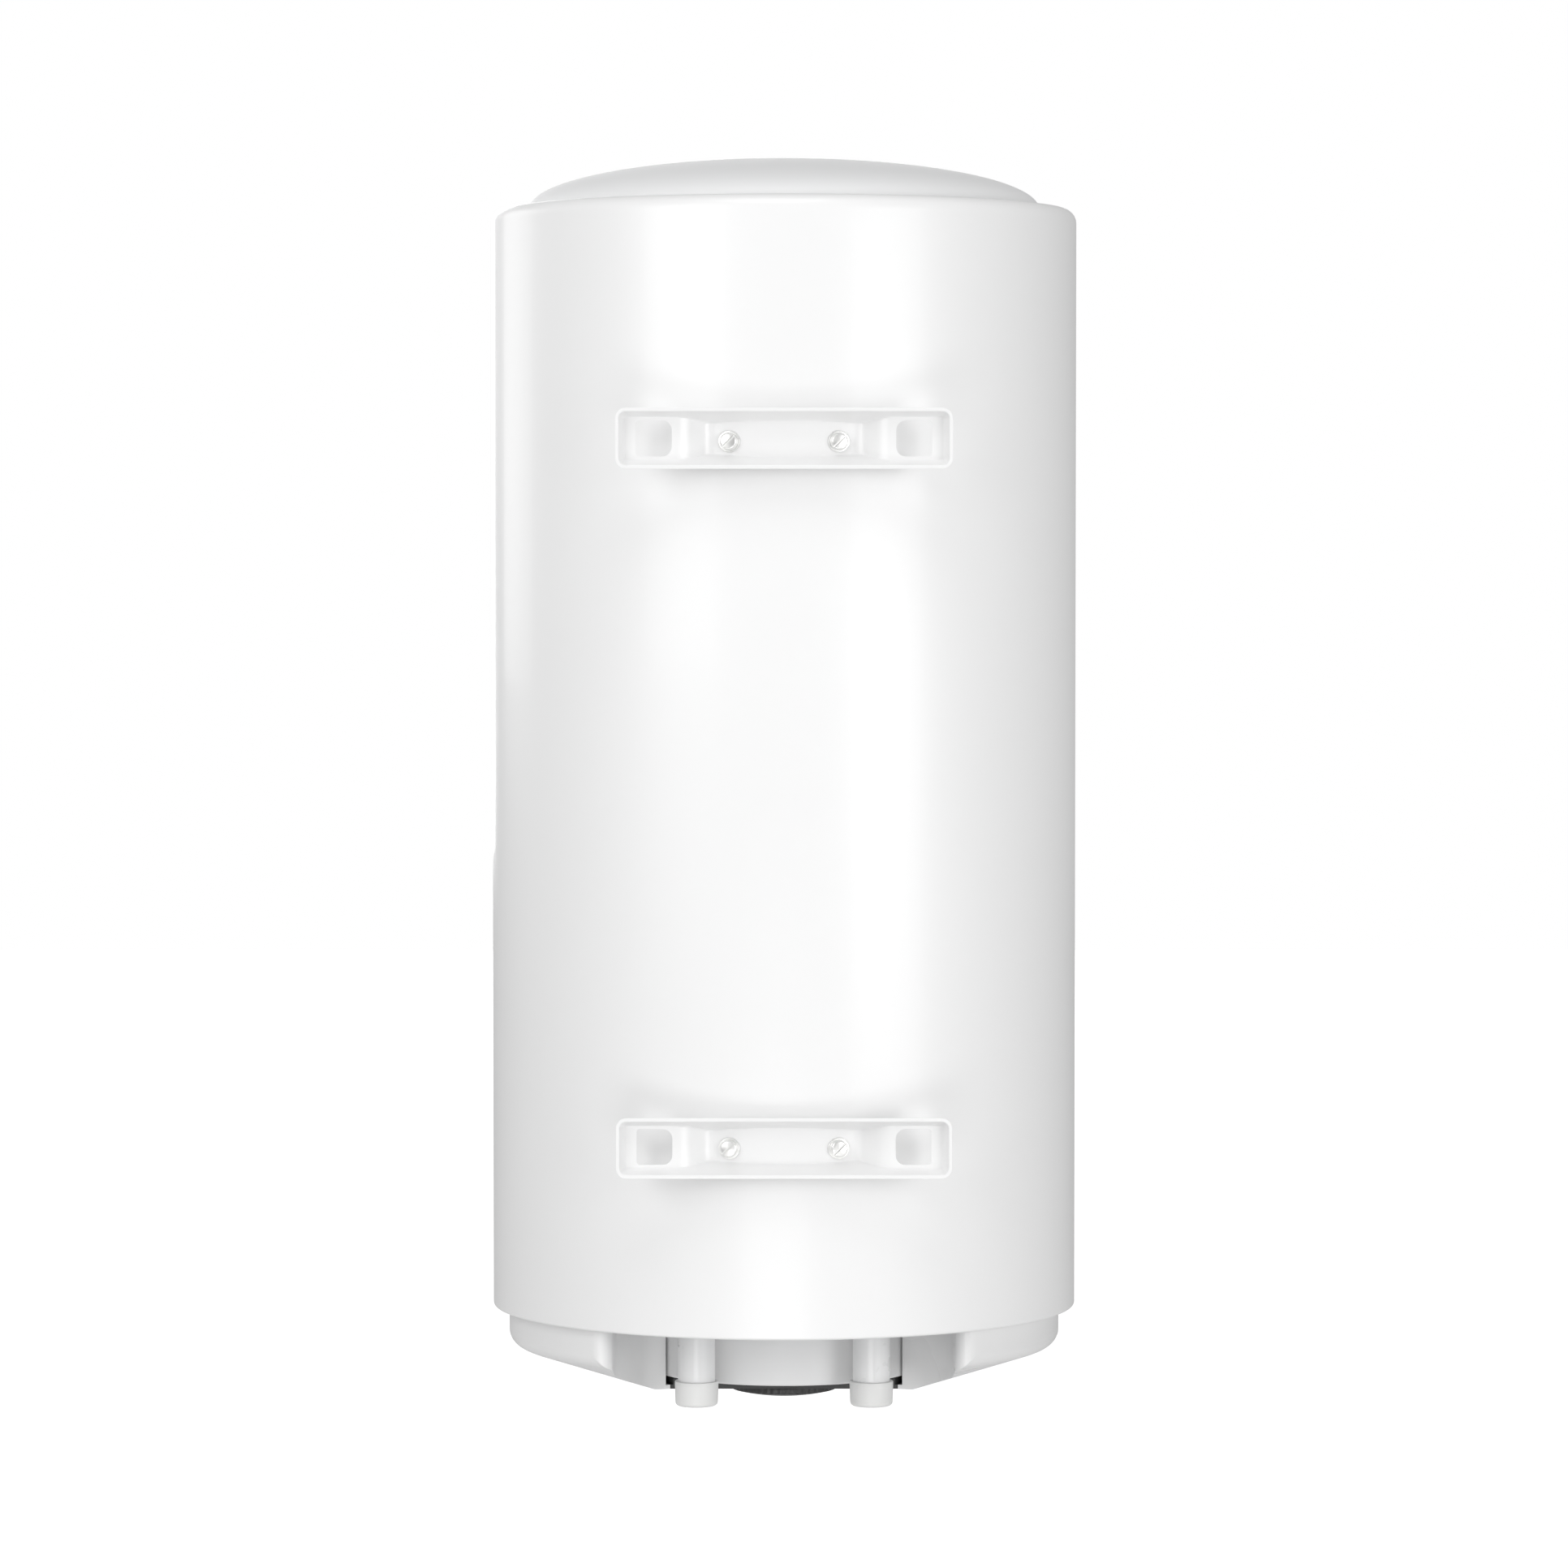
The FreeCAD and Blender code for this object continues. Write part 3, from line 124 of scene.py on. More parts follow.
camera = bpy.data.objects.new("camera", bpy.data.cameras.new("camera"))
camera.data.lens = CAMERA_LENS
camera.data.sensor_width = SENSOR_WIDTH
camera.data.clip_end = FARTHEST_SEEN
camera.location = (axis_x, axis_y + CAMERA_DISTANCE, casing_foot + CAMERA_LEVEL)
camera.rotation_euler = (math.radians(90 - CAMERA_TIP), 0, math.pi)
bpy.context.scene.collection.objects.link(camera)
bpy.context.scene.camera = camera
print("camera at", [round(part, 3) for part in camera.location])

# %% [markdown]
# ## Studio
#
# White goods are hard to light: if the light is as strong from every side, the drum turns into a flat
# white shape. Here a dim, even surround leaves the edges of the drum grey, and two wide soft lamps on
# the wall side lift its middle to near white. Weaker lamps above, below and at the front keep the
# cover, the pipes and the other views from going dull. The floor is a plain pale sheet below the
# heater.

# %% Build the floor, the surround and the lamps
FLOOR_DROP = 0.75
FLOOR_SIZE = 30.0
SURROUND_LIGHT = 0.45
WHITE = (1, 1, 1, 1)
PAPER_GREY = (0.55, 0.55, 0.55, 1)


def make_floor():
    """A plain pale sheet below the heater, bright to the camera and only faint as a light source."""
    bm = bmesh.new()
    bmesh.ops.create_grid(bm, x_segments=1, y_segments=1, size=FLOOR_SIZE / 2)
    bmesh.ops.translate(bm, vec=(0, 0, cad_box[0][2] - FLOOR_DROP), verts=bm.verts)
    mesh = bpy.data.meshes.new("studio_floor")
    bm.to_mesh(mesh)
    bm.free()
    floor = bpy.data.objects.new("studio_floor", mesh)
    bpy.context.scene.collection.objects.link(floor)
    paper = bpy.data.materials.new("floor_paper")
    paper.use_nodes = True
    shader = paper.node_tree.nodes["Principled BSDF"]
    shader.inputs["Base Color"].default_value = PAPER_GREY
    shader.inputs["Roughness"].default_value = 0.9
    shader.inputs["Emission Color"].default_value = WHITE
    path = paper.node_tree.nodes.new("ShaderNodeLightPath")
    glow = paper.node_tree.nodes.new("ShaderNodeMapRange")
    glow.inputs["To Min"].default_value = 0.1
    glow.inputs["To Max"].default_value = 0.9
    paper.node_tree.links.new(path.outputs["Is Camera Ray"], glow.inputs["Value"])
    paper.node_tree.links.new(glow.outputs["Result"], shader.inputs["Emission Strength"])
    mesh.materials.append(paper)


def make_surround():
    """White to the camera, dimmer as a light source, so that edges keep their tone."""
    world = bpy.data.worlds.new("studio")
    world.use_nodes = True
    tree = world.node_tree
    background = tree.nodes["Background"]
    background.inputs["Color"].default_value = WHITE
    path = tree.nodes.new("ShaderNodeLightPath")
    strength = tree.nodes.new("ShaderNodeMapRange")
    strength.inputs["To Min"].default_value = SURROUND_LIGHT
    strength.inputs["To Max"].default_value = 1.0
    tree.links.new(path.outputs["Is Camera Ray"], strength.inputs["Value"])
    tree.links.new(strength.outputs["Result"], background.inputs["Strength"])
    bpy.context.scene.world = world


def make_lamp(name, place, aim, size, power):
    """A square soft lamp that points at a spot."""
    data = bpy.data.lights.new(name, "AREA")
    data.shape = "SQUARE"
    data.size = size
    data.energy = power
    lamp = bpy.data.objects.new(name, data)
    lamp.location = place
    lamp.rotation_euler = (Vector(aim) - Vector(place)).to_track_quat("-Z", "Y").to_euler()
    bpy.context.scene.collection.objects.link(lamp)


scene = bpy.context.scene
scene.view_settings.view_transform = "Standard"
make_floor()
make_surround()
heater_middle = (axis_x, axis_y, (casing_foot + casing_head) / 2)
make_lamp("key_lamp", (1.7, 1.9, 0.6), heater_middle, 1.5, 22)
make_lamp("fill_lamp", (-1.9, 2.1, -0.1), heater_middle, 1.5, 26)
make_lamp("rim_lamp", (2.2, -1.9, 0.5), heater_middle, 1.4, 12)
make_lamp("top_lamp", (0.1, 1.1, 1.9), heater_middle, 1.2, 12)
make_lamp("low_lamp", (0.1, 1.5, -1.15), (axis_x, axis_y, casing_foot), 0.8, 6)
make_lamp("front_lamp", (0.4, -2.9, 0.3), heater_middle, 1.4, 20)

# %% [markdown]
# ## Shared surface effects
#
# Real finishes are never one flat colour. Two effects are used by almost every material here, so
# each is made once as a node group with named sockets, and every material sets its own values.
#
# `mottle` gives a slow drift between two close tones, and a mask that the roughness can follow.
# `relief` gives fine bumps, such as the orange peel of sprayed paint or the grain of a mould.
# Both work on object coordinates in metres, so the pattern stays in place on the piece.

# %% Build the node groups
def new_group(name, inputs, outputs):
    """Empty node group with named sockets: returns the tree, its input node and its output node."""
    tree = bpy.data.node_groups.new(name, "ShaderNodeTree")
    for label, kind in inputs:
        tree.interface.new_socket(name=label, in_out="INPUT", socket_type="NodeSocket" + kind)
    for label, kind in outputs:
        tree.interface.new_socket(name=label, in_out="OUTPUT", socket_type="NodeSocket" + kind)
    return tree, tree.nodes.new("NodeGroupInput"), tree.nodes.new("NodeGroupOutput")


def make_mottle_group():
    """Slow drift between two tones."""
    tree, given, result = new_group(
        "mottle",
        [("Place", "Vector"), ("Scale", "Float"), ("Dark", "Color"), ("Light", "Color")],
        [("Colour", "Color"), ("Mask", "Float")])
    noise = tree.nodes.new("ShaderNodeTexNoise")
    noise.inputs["Detail"].default_value = 4
    noise.inputs["Roughness"].default_value = 0.55
    spread = tree.nodes.new("ShaderNodeMapRange")
    spread.interpolation_type = "SMOOTHSTEP"
    spread.inputs["From Min"].default_value = 0.25
    spread.inputs["From Max"].default_value = 0.75
    mix = tree.nodes.new("ShaderNodeMix")
    mix.data_type = "RGBA"
    tree.links.new(given.outputs["Place"], noise.inputs["Vector"])
    tree.links.new(given.outputs["Scale"], noise.inputs["Scale"])
    tree.links.new(noise.outputs["Fac"], spread.inputs["Value"])
    tree.links.new(spread.outputs["Result"], mix.inputs["Factor"])
    tree.links.new(given.outputs["Dark"], mix.inputs["A"])
    tree.links.new(given.outputs["Light"], mix.inputs["B"])
    tree.links.new(mix.outputs["Result"], result.inputs["Colour"])
    tree.links.new(spread.outputs["Result"], result.inputs["Mask"])
    return tree


def make_relief_group():
    """Fine bumps of a given size and depth, as a normal."""
    tree, given, result = new_group(
        "relief",
        [("Place", "Vector"), ("Scale", "Float"), ("Depth", "Float"), ("Detail", "Float")],
        [("Normal", "Vector")])
    noise = tree.nodes.new("ShaderNodeTexNoise")
    noise.inputs["Roughness"].default_value = 0.5
    bump = tree.nodes.new("ShaderNodeBump")
    bump.inputs["Strength"].default_value = 1.0
    tree.links.new(given.outputs["Place"], noise.inputs["Vector"])
    tree.links.new(given.outputs["Scale"], noise.inputs["Scale"])
    tree.links.new(given.outputs["Detail"], noise.inputs["Detail"])
    tree.links.new(noise.outputs["Fac"], bump.inputs["Height"])
    tree.links.new(given.outputs["Depth"], bump.inputs["Distance"])
    tree.links.new(bump.outputs["Normal"], result.inputs["Normal"])
    return tree


mottle_group = make_mottle_group()
relief_group = make_relief_group()
print("node groups:", [tree.name for tree in bpy.data.node_groups])

# %% [markdown]
# ## Finishes
#
# One function puts the two groups in front of a Principled shader. Each finish then needs only its
# own numbers: two close tones, how large the drift is, how rough the surface runs, and how coarse
# and deep its relief is. `stretch` lengthens or squeezes the relief along one axis, which turns round
# bumps into the fine lines of drawn or turned metal.

# %% Make a finish from the shared effects
def make_finish(name, dark, light, drift=8.0, rough=(0.3, 0.4), metal=0.0, grain=600.0,
                depth=0.00002, detail=2.0, coat=0.0, stretch=(1, 1, 1)):
    """Material with a drifting tone, a drifting roughness and fine relief."""
    material = bpy.data.materials.new(name)
    material.use_nodes = True
    tree = material.node_tree
    shader = tree.nodes["Principled BSDF"]
    shader.inputs["Metallic"].default_value = metal
    shader.inputs["Coat Weight"].default_value = coat
    shader.inputs["Coat Roughness"].default_value = 0.08
    place = tree.nodes.new("ShaderNodeTexCoord")
    mapping = tree.nodes.new("ShaderNodeMapping")
    mapping.inputs["Scale"].default_value = stretch
    mottle = tree.nodes.new("ShaderNodeGroup")
    mottle.node_tree = mottle_group
    mottle.inputs["Scale"].default_value = drift
    mottle.inputs["Dark"].default_value = (*dark, 1)
    mottle.inputs["Light"].default_value = (*light, 1)
    relief = tree.nodes.new("ShaderNodeGroup")
    relief.node_tree = relief_group
    relief.inputs["Scale"].default_value = grain
    relief.inputs["Depth"].default_value = depth
    relief.inputs["Detail"].default_value = detail
    gloss = tree.nodes.new("ShaderNodeMapRange")
    gloss.inputs["To Min"].default_value = rough[0]
    gloss.inputs["To Max"].default_value = rough[1]
    tree.links.new(place.outputs["Object"], mapping.inputs["Vector"])
    tree.links.new(mapping.outputs["Vector"], relief.inputs["Place"])
    tree.links.new(place.outputs["Object"], mottle.inputs["Place"])
    tree.links.new(mottle.outputs["Mask"], gloss.inputs["Value"])
    tree.links.new(mottle.outputs["Colour"], shader.inputs["Base Color"])
    tree.links.new(gloss.outputs["Result"], shader.inputs["Roughness"])
    tree.links.new(relief.outputs["Normal"], shader.inputs["Normal"])
    return material


def grey(value):
    """The same value for red, green and blue."""
    return (value, value, value)


finishes = {
    "casing_paint": make_finish("casing_paint", grey(0.86), grey(0.875), 3, (0.3, 0.35),
                                grain=420, depth=0.000012, coat=0.12),
    "bracket_paint": make_finish("bracket_paint", grey(0.85), grey(0.858), 6, (0.28, 0.31),
                                 grain=420, depth=0.00001, coat=0.1),
    "pipe_paint": make_finish("pipe_paint", grey(0.85), grey(0.87), 30, (0.25, 0.33),
                              grain=700, depth=0.00001, coat=0.2),
    "shroud_paint": make_finish("shroud_paint", grey(0.82), grey(0.84), 12, (0.34, 0.42),
                                grain=500, depth=0.000015),
    "top_cover_plastic": make_finish("top_cover_plastic", (0.8, 0.803, 0.806), (0.82, 0.823, 0.826),
                                     6, (0.54, 0.6), grain=1500, depth=0.000012),
    "lower_cover_plastic": make_finish("lower_cover_plastic", grey(0.83), grey(0.85), 7,
                                       (0.26, 0.31), grain=1300, depth=0.000006),
    "hatch_plastic": make_finish("hatch_plastic", grey(0.045), grey(0.052), 15, (0.5, 0.58),
                                 grain=1800, depth=0.00003),
    "knob_plastic": make_finish("knob_plastic", grey(0.05), grey(0.056), 25, (0.36, 0.44),
                                grain=2000, depth=0.000015),
    "black_moulding": make_finish("black_moulding", grey(0.02), grey(0.03), 30, (0.4, 0.5),
                                  grain=1800, depth=0.00002),
    "cap_plastic": make_finish("cap_plastic", (0.8, 0.8, 0.79), (0.825, 0.825, 0.815), 40, (0.38, 0.46),
                               grain=1200, depth=0.000014),
    "diffuser_plastic": make_finish("diffuser_plastic", (0.78, 0.78, 0.74), (0.82, 0.82, 0.79), 40,
                                    (0.45, 0.55), grain=1200, depth=0.00002),
    "terminal_plastic": make_finish("terminal_plastic", (0.62, 0.60, 0.54), (0.68, 0.66, 0.6), 50,
                                    (0.45, 0.55), grain=1500, depth=0.00002),
    "reset_red": make_finish("reset_red", (0.42, 0.02, 0.015), (0.5, 0.03, 0.02), 80, (0.25, 0.32),
                             grain=1800, depth=0.00001),
    "lamp_lens": make_finish("lamp_lens", (0.5, 0.07, 0.015), (0.6, 0.1, 0.02), 90, (0.12, 0.18),
                             grain=900, depth=0.00001, coat=0.5),
    "wire_pvc": make_finish("wire_pvc", (0.03, 0.07, 0.3), (0.05, 0.1, 0.38), 60, (0.35, 0.45),
                            grain=1500, depth=0.00001),
    "gasket_rubber": make_finish("gasket_rubber", grey(0.016), grey(0.03), 40, (0.6, 0.75),
                                 grain=1600, depth=0.00003),
    "foam": make_finish("foam", (0.74, 0.6, 0.32), (0.84, 0.72, 0.44), 14, (0.8, 0.92),
                        grain=450, depth=0.0006, detail=5),
    "tank_steel": make_finish("tank_steel", (0.02, 0.035, 0.1), (0.035, 0.055, 0.14), 10, (0.15, 0.25),
                              grain=300, depth=0.00003, coat=0.6),
    "galvanised": make_finish("galvanised", (0.46, 0.48, 0.5), (0.62, 0.64, 0.66), 120, (0.3, 0.5),
                              metal=1.0, grain=900, depth=0.000012),
    "zinc": make_finish("zinc", (0.86, 0.86, 0.85), (0.93, 0.93, 0.91), 220, (0.3, 0.42),
                        metal=1.0, grain=2600, depth=0.000008),
    "stainless": make_finish("stainless", (0.5, 0.49, 0.47), (0.58, 0.57, 0.55), 30, (0.24, 0.34),
                             metal=1.0, grain=2400, depth=0.000006, stretch=(1, 1, 0.02)),
    "copper": make_finish("copper", (0.62, 0.27, 0.14), (0.75, 0.38, 0.22), 60, (0.3, 0.45),
                          metal=1.0, grain=1500, depth=0.00001, stretch=(1, 1, 0.05)),
    "brass": make_finish("brass", (0.66, 0.46, 0.18), (0.78, 0.58, 0.27), 90, (0.25, 0.38),
                         metal=1.0, grain=2000, depth=0.000008, stretch=(1, 1, 4)),
    "magnesium": make_finish("magnesium", (0.38, 0.38, 0.37), (0.52, 0.52, 0.51), 90, (0.5, 0.7),
                             metal=1.0, grain=1200, depth=0.00004, detail=4),
}
print("finishes:", len(finishes))

# %% [markdown]
# ## Dress the engineering parts
#
# The record says which finish each engineering part takes, so a loop hands them out. Most parts are
# already the right shape and need only their finish, which is the quickest way to a true surface.
# The ones that show most are replaced further down by pieces with finer edges.

# %% Hand out the finishes
for entry in frame["record"]["subparts"]:
    node = frame["nodes"][entry["node"]]
    for place in node.material_slots:
        place.material = finishes[entry["material_slot"]]

# %% [markdown]
# ## Helpers for round pieces
#
# Most of the heater is round. A round piece is drawn as a half outline, as on a lathe drawing: each
# corner is a radius and a level, and a third number rounds that corner with a true arc. Spinning the
# outline about its axis makes the skin. A closed outline gives a real wall with an inside and an
# outside.

# %% Outline, spin and finish helpers
ARC_STEPS = 6


def rounded(corners, closed=True):
    """Corners of (radius, level) or (radius, level, rounding), with arcs put in the rounded ones."""
    points = []
    count = len(corners)
    for index, corner in enumerate(corners):
        here = Vector(corner[:2])
        inner = closed or 0 < index < count - 1
        if len(corner) < 3 or not inner:
            points.append(here)
            continue
        back = (Vector(corners[index - 1][:2]) - here).normalized()
        onward = (Vector(corners[(index + 1) % count][:2]) - here).normalized()
        half = back.angle(onward) / 2
        reach = corner[2] / math.tan(half)
        centre = here + (back + onward).normalized() * (corner[2] / math.sin(half))
        start = here + back * reach - centre
        sweep = math.pi - 2 * half
        if start.x * (here - centre).y - start.y * (here - centre).x < 0:
            sweep = -sweep
        for step in range(ARC_STEPS + 1):
            turn = Matrix.Rotation(sweep * step / ARC_STEPS, 2)
            points.append(centre + turn @ start)
    return points


def spin_outline(bm, points, centre, steps, closed=True):
    """Spin points of (radius, level) about the upright axis through centre."""
    verts = [bm.verts.new((centre[0] + point[0], centre[1], point[1])) for point in points]
    pairs = list(zip(verts, verts[1:]))
    if closed:
        pairs.append((verts[-1], verts[0]))
    edges = [bm.edges.new(pair) for pair in pairs]
    bmesh.ops.spin(bm, geom=verts + edges, cent=(centre[0], centre[1], 0), axis=(0, 0, 1),
                   angle=FULL_TURN, steps=steps, use_merge=True)
    bmesh.ops.remove_doubles(bm, verts=bm.verts, dist=0.005 * MM)
    bmesh.ops.recalc_face_normals(bm, faces=bm.faces)


SMOOTH_ANGLE = math.radians(32)


def finish_piece(name, bm, finish, body, *nodes):
    """Turn a bmesh into a piece that rides on a body and stands for engineering parts."""
    mesh = bpy.data.meshes.new(name)
    bm.to_mesh(mesh)
    bm.free()
    mesh.materials.append(finishes[finish])
    mesh.shade_smooth()
    mesh.set_sharp_from_angle(angle=SMOOTH_ANGLE)
    piece = bpy.data.objects.new(name, mesh)
    bpy.context.scene.collection.objects.link(piece)
    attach(piece, body)
    if nodes:
        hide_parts(*nodes)
    print("%s: %d faces" % (name, len(mesh.polygons)))
    return piece


def spun_piece(name, corners, centre, steps, finish, body, *nodes):
    """A round piece from its half outline."""
    bm = bmesh.new()
    spin_outline(bm, rounded(corners), centre, steps)
    finish_piece(name, bm, finish, body, *nodes)


heater_axis = (axis_x, axis_y)

# %% [markdown]
# ## Casing
#
# The casing is one sheet of steel, rolled into a drum and painted. Its top edge is rolled inwards
# over a generous radius, and its bottom edge is turned in to carry the bowl. A drum this wide needs
# many steps in its spin, or its outline would show corners.

# %% Spin the casing
SHEET = 1.2 * MM
SHOULDER_ROUND = 8 * MM
casing_mouth = 148.8 * MM
casing_lip = 161.6 * MM
casing_inside = casing_radius - SHEET
spun_piece("casing_skin", [
    (casing_lip, casing_foot, 0.4 * MM),
    (casing_radius, casing_foot, 1.5 * MM),
    (casing_radius, casing_head, SHOULDER_ROUND),
    (casing_mouth, casing_head, 0.4 * MM),
    (casing_mouth, casing_head - SHEET),
    (casing_inside, casing_head - SHEET, SHOULDER_ROUND - SHEET),
    (casing_inside, casing_foot + SHEET),
    (casing_lip, casing_foot + SHEET),
], heater_axis, 256, "casing_paint", "heater", "casing")

# %% [markdown]
# ## Top cover
#
# The cover is a shallow moulded dome that sits in the mouth of the casing and is held by a flange
# under the shoulder. Its outline is a quarter of an ellipse, so it is made from the formula of an
# ellipse instead of corners.

# %% Spin the top cover
DOME_STEPS = 40
COVER_WALL = 2.5 * MM
FLANGE_GAP = 0.1 * MM
dome_radius = 148.3 * MM
dome_seat = casing_head + 0.6 * MM
dome_rise = high("top_cover").z - dome_seat
flange_radius = 157.5 * MM


def ellipse_quarter(radius, rise, seat, steps, rising):
    """Points on a quarter ellipse between its rim and its top."""
    turns = [math.pi / 2 * step / steps for step in range(steps + 1)]
    points = [Vector((radius * math.cos(turn), seat + rise * math.sin(turn))) for turn in turns]
    return points if rising else points[::-1]


def make_dome():
    """Dome with a flange that is held under the casing's shoulder."""
    under = casing_head - SHEET - FLANGE_GAP
    outline = ellipse_quarter(dome_radius, dome_rise, dome_seat, DOME_STEPS, False)
    outline += [Vector((dome_radius, under)), Vector((flange_radius, under))]
    outline += [Vector((flange_radius, under - COVER_WALL)),
                Vector((dome_radius - COVER_WALL, under - COVER_WALL))]
    outline += ellipse_quarter(dome_radius - COVER_WALL, dome_rise - COVER_WALL, dome_seat,
                               DOME_STEPS, True)
    bm = bmesh.new()
    spin_outline(bm, outline, heater_axis, 256, closed=False)
    finish_piece("dome_cover", bm, "top_cover_plastic", "heater", "top_cover")


make_dome()

# %% [markdown]
# ## Wall brackets
#
# Each bracket is pressed from one flat blank: a long tray with sloping walls, two shallow ends that
# hook onto the wall, and a deep middle that is curved to sit on the drum. A pressing has no sharp
# corners, because the sheet flows round the tool. So the tray is made as a height field: a flat grid
# in the wall plane is pushed back by the depth of the tool under each point, and soft blends between
# wall, end and saddle give the round corners. A second copy of the sheet, one gauge further back,
# gives the wall its thickness.

# %% Depth of the pressing tool
GAUGE = 2.0 * MM
WALL_STEEPNESS = 3.0
BLEND = 2.6 * MM
bracket_half = high("wall_bracket_upper").x
bracket_rise = high("wall_bracket_upper").z
ear_depth = 8.0 * MM
ear_inner = 56.0 * MM
saddle_outer = 41.5 * MM
corner_round = 4.0 * MM
saddle_blend = 3.0 * MM
saddle_radius = casing_radius + GAUGE


def soft_least(a, b, blend):
    """The smaller of two values, with a smooth turn where they meet."""
    reach = max(blend - abs(a - b), 0.0) / blend
    return min(a, b) - reach * reach * blend / 4


def floor_depth(x):
    """Depth of the tray's floor: shallow ends, slopes, and a saddle that follows the drum."""
    across = abs(x - axis_x)
    saddle = -axis_y - math.sqrt(saddle_radius ** 2 - min(across, saddle_outer + 2 * MM) ** 2)
    foot = -axis_y - math.sqrt(saddle_radius ** 2 - saddle_outer ** 2)
    slope = ear_depth + (foot - ear_depth) * (ear_inner - across) / (ear_inner - saddle_outer)
    slope = -soft_least(-slope, -ear_depth, saddle_blend)
    return soft_least(slope, saddle, saddle_blend) if across < ear_inner + 4 * MM else slope


def wall_depth(x, z):
    """Depth of the sloping walls: how far inside the rim a point lies, times their steepness."""
    side = GAUGE * math.sqrt(1 + WALL_STEEPNESS ** 2) / WALL_STEEPNESS
    inset_x = abs(x - axis_x) - (bracket_half - side - corner_round)
    inset_z = abs(z) - (bracket_rise - side - corner_round)
    beyond = math.hypot(max(inset_x, 0.0), max(inset_z, 0.0))
    inside = corner_round - beyond - min(max(inset_x, inset_z), 0.0)
    return inside * WALL_STEEPNESS


def tray_depth(x, z):
    """Depth of the whole tray: the shallower of wall and floor, blended where they meet."""
    return soft_least(wall_depth(x, z), floor_depth(x), BLEND)


print("tray depth in the middle: %.1f mm" % (tray_depth(0, 0) / MM))

# %% [markdown]
# The grid is finer near its long edges, where the walls are steep, so its rows are spaced by a
# cubic curve. The grid reaches a little past the rim and is then cut off flat in the wall plane, as
# the press trims the real blank. The cut leaves two loops, one for each face of the sheet, and
# bridging them closes the rim.

# %% Press the bracket
TRAY_COLUMNS = 220
TRAY_ROWS = 56
EDGE_CROWDING = 0.3
RIM_SOFTNESS = 0.45 * MM
HOOK_CENTRE = 72 * MM
HOOK_HALF = 10 * MM
HOOK_ROUND_OUTER = 2 * MM
HOOK_ROUND_INNER = 5.5 * MM
TRIM_MARGIN = 0.3 * MM
CUTTER_REACH = 9 * MM


def press_tray(bm, level):
    """Both faces of the pressed sheet, with the rim still open."""
    reach_x = bracket_half + TRIM_MARGIN
    reach_z = bracket_rise + TRIM_MARGIN
    bmesh.ops.create_grid(bm, x_segments=TRAY_COLUMNS, y_segments=TRAY_ROWS, size=1)
    for vert in bm.verts:
        row = vert.co.y
        row = row * (1 + EDGE_CROWDING) - EDGE_CROWDING * row ** 3
        x, z = axis_x + vert.co.x * reach_x, row * reach_z
        vert.co = (x, -tray_depth(x, z), z + level)
    bmesh.ops.recalc_face_normals(bm, faces=bm.faces)
    if sum(face.normal.y for face in bm.faces) < 0:
        bmesh.ops.reverse_faces(bm, faces=bm.faces)
    copy = bmesh.ops.duplicate(bm, geom=bm.verts[:] + bm.edges[:] + bm.faces[:])["geom"]
    moves = [(item, item.normal.copy()) for item in copy if isinstance(item, bmesh.types.BMVert)]
    for vert, normal in moves:
        vert.co -= normal * GAUGE
    back = [item for item in copy if isinstance(item, bmesh.types.BMFace)]
    bmesh.ops.reverse_faces(bm, faces=back)
    bmesh.ops.bisect_plane(bm, geom=bm.verts[:] + bm.edges[:] + bm.faces[:], dist=0.001 * MM,
                           plane_co=(0, 0, 0), plane_no=(0, 1, 0), clear_outer=True)
    rims = [edge for edge in bm.edges if edge.is_boundary]
    bmesh.ops.bridge_loops(bm, edges=rims)
    bmesh.ops.recalc_face_normals(bm, faces=bm.faces)
    rim_faces = {face for face in bm.faces
                 if face.normal.y > 0.99 and abs(face.calc_center_median().y) < 0.001 * MM}
    corners = [edge for edge in bm.edges
               if len(edge.link_faces) == 2 and len(rim_faces & set(edge.link_faces)) == 1]
    bmesh.ops.bevel(bm, geom=corners, offset=RIM_SOFTNESS, segments=3, profile=0.5, affect="EDGES",
                    material=-1)


def hook_cutter(side, level):
    """Prism with one side's corners rounder than the other's, pushed through a hook plate."""
    inner = side * (HOOK_CENTRE - HOOK_HALF)
    outer = side * (HOOK_CENTRE + HOOK_HALF)
    outline = rounded([(inner, -HOOK_HALF, HOOK_ROUND_INNER), (outer, -HOOK_HALF, HOOK_ROUND_OUTER),
                       (outer, HOOK_HALF, HOOK_ROUND_OUTER), (inner, HOOK_HALF, HOOK_ROUND_INNER)])
    bm = bmesh.new()
    face = bm.faces.new([bm.verts.new((axis_x + point.x, -ear_depth / 2, level + point.y))
                         for point in outline])
    pushed = bmesh.ops.extrude_face_region(bm, geom=[face])["geom"]
    verts = [item for item in pushed if isinstance(item, bmesh.types.BMVert)]
    bmesh.ops.translate(bm, vec=(0, -CUTTER_REACH, 0), verts=verts)
    bmesh.ops.recalc_face_normals(bm, faces=bm.faces)
    return bm


def carve(piece, cutter_bm):
    """Take the cutter's space out of a piece."""
    mesh = bpy.data.meshes.new("cutter")
    cutter_bm.to_mesh(mesh)
    cutter_bm.free()
    cutter = bpy.data.objects.new("cutter", mesh)
    bpy.context.scene.collection.objects.link(cutter)
    modifier = piece.modifiers.new("carve", "BOOLEAN")
    modifier.operation = "DIFFERENCE"
    modifier.solver = "EXACT"
    modifier.object = cutter
    bpy.context.view_layer.update()
    depsgraph = bpy.context.evaluated_depsgraph_get()
    carved = bpy.data.meshes.new_from_object(piece.evaluated_get(depsgraph))
    piece.modifiers.clear()
    old = piece.data
    piece.data = carved
    carved.name = piece.name
    bpy.data.meshes.remove(old)
    bpy.data.objects.remove(cutter)
    bpy.data.meshes.remove(mesh)


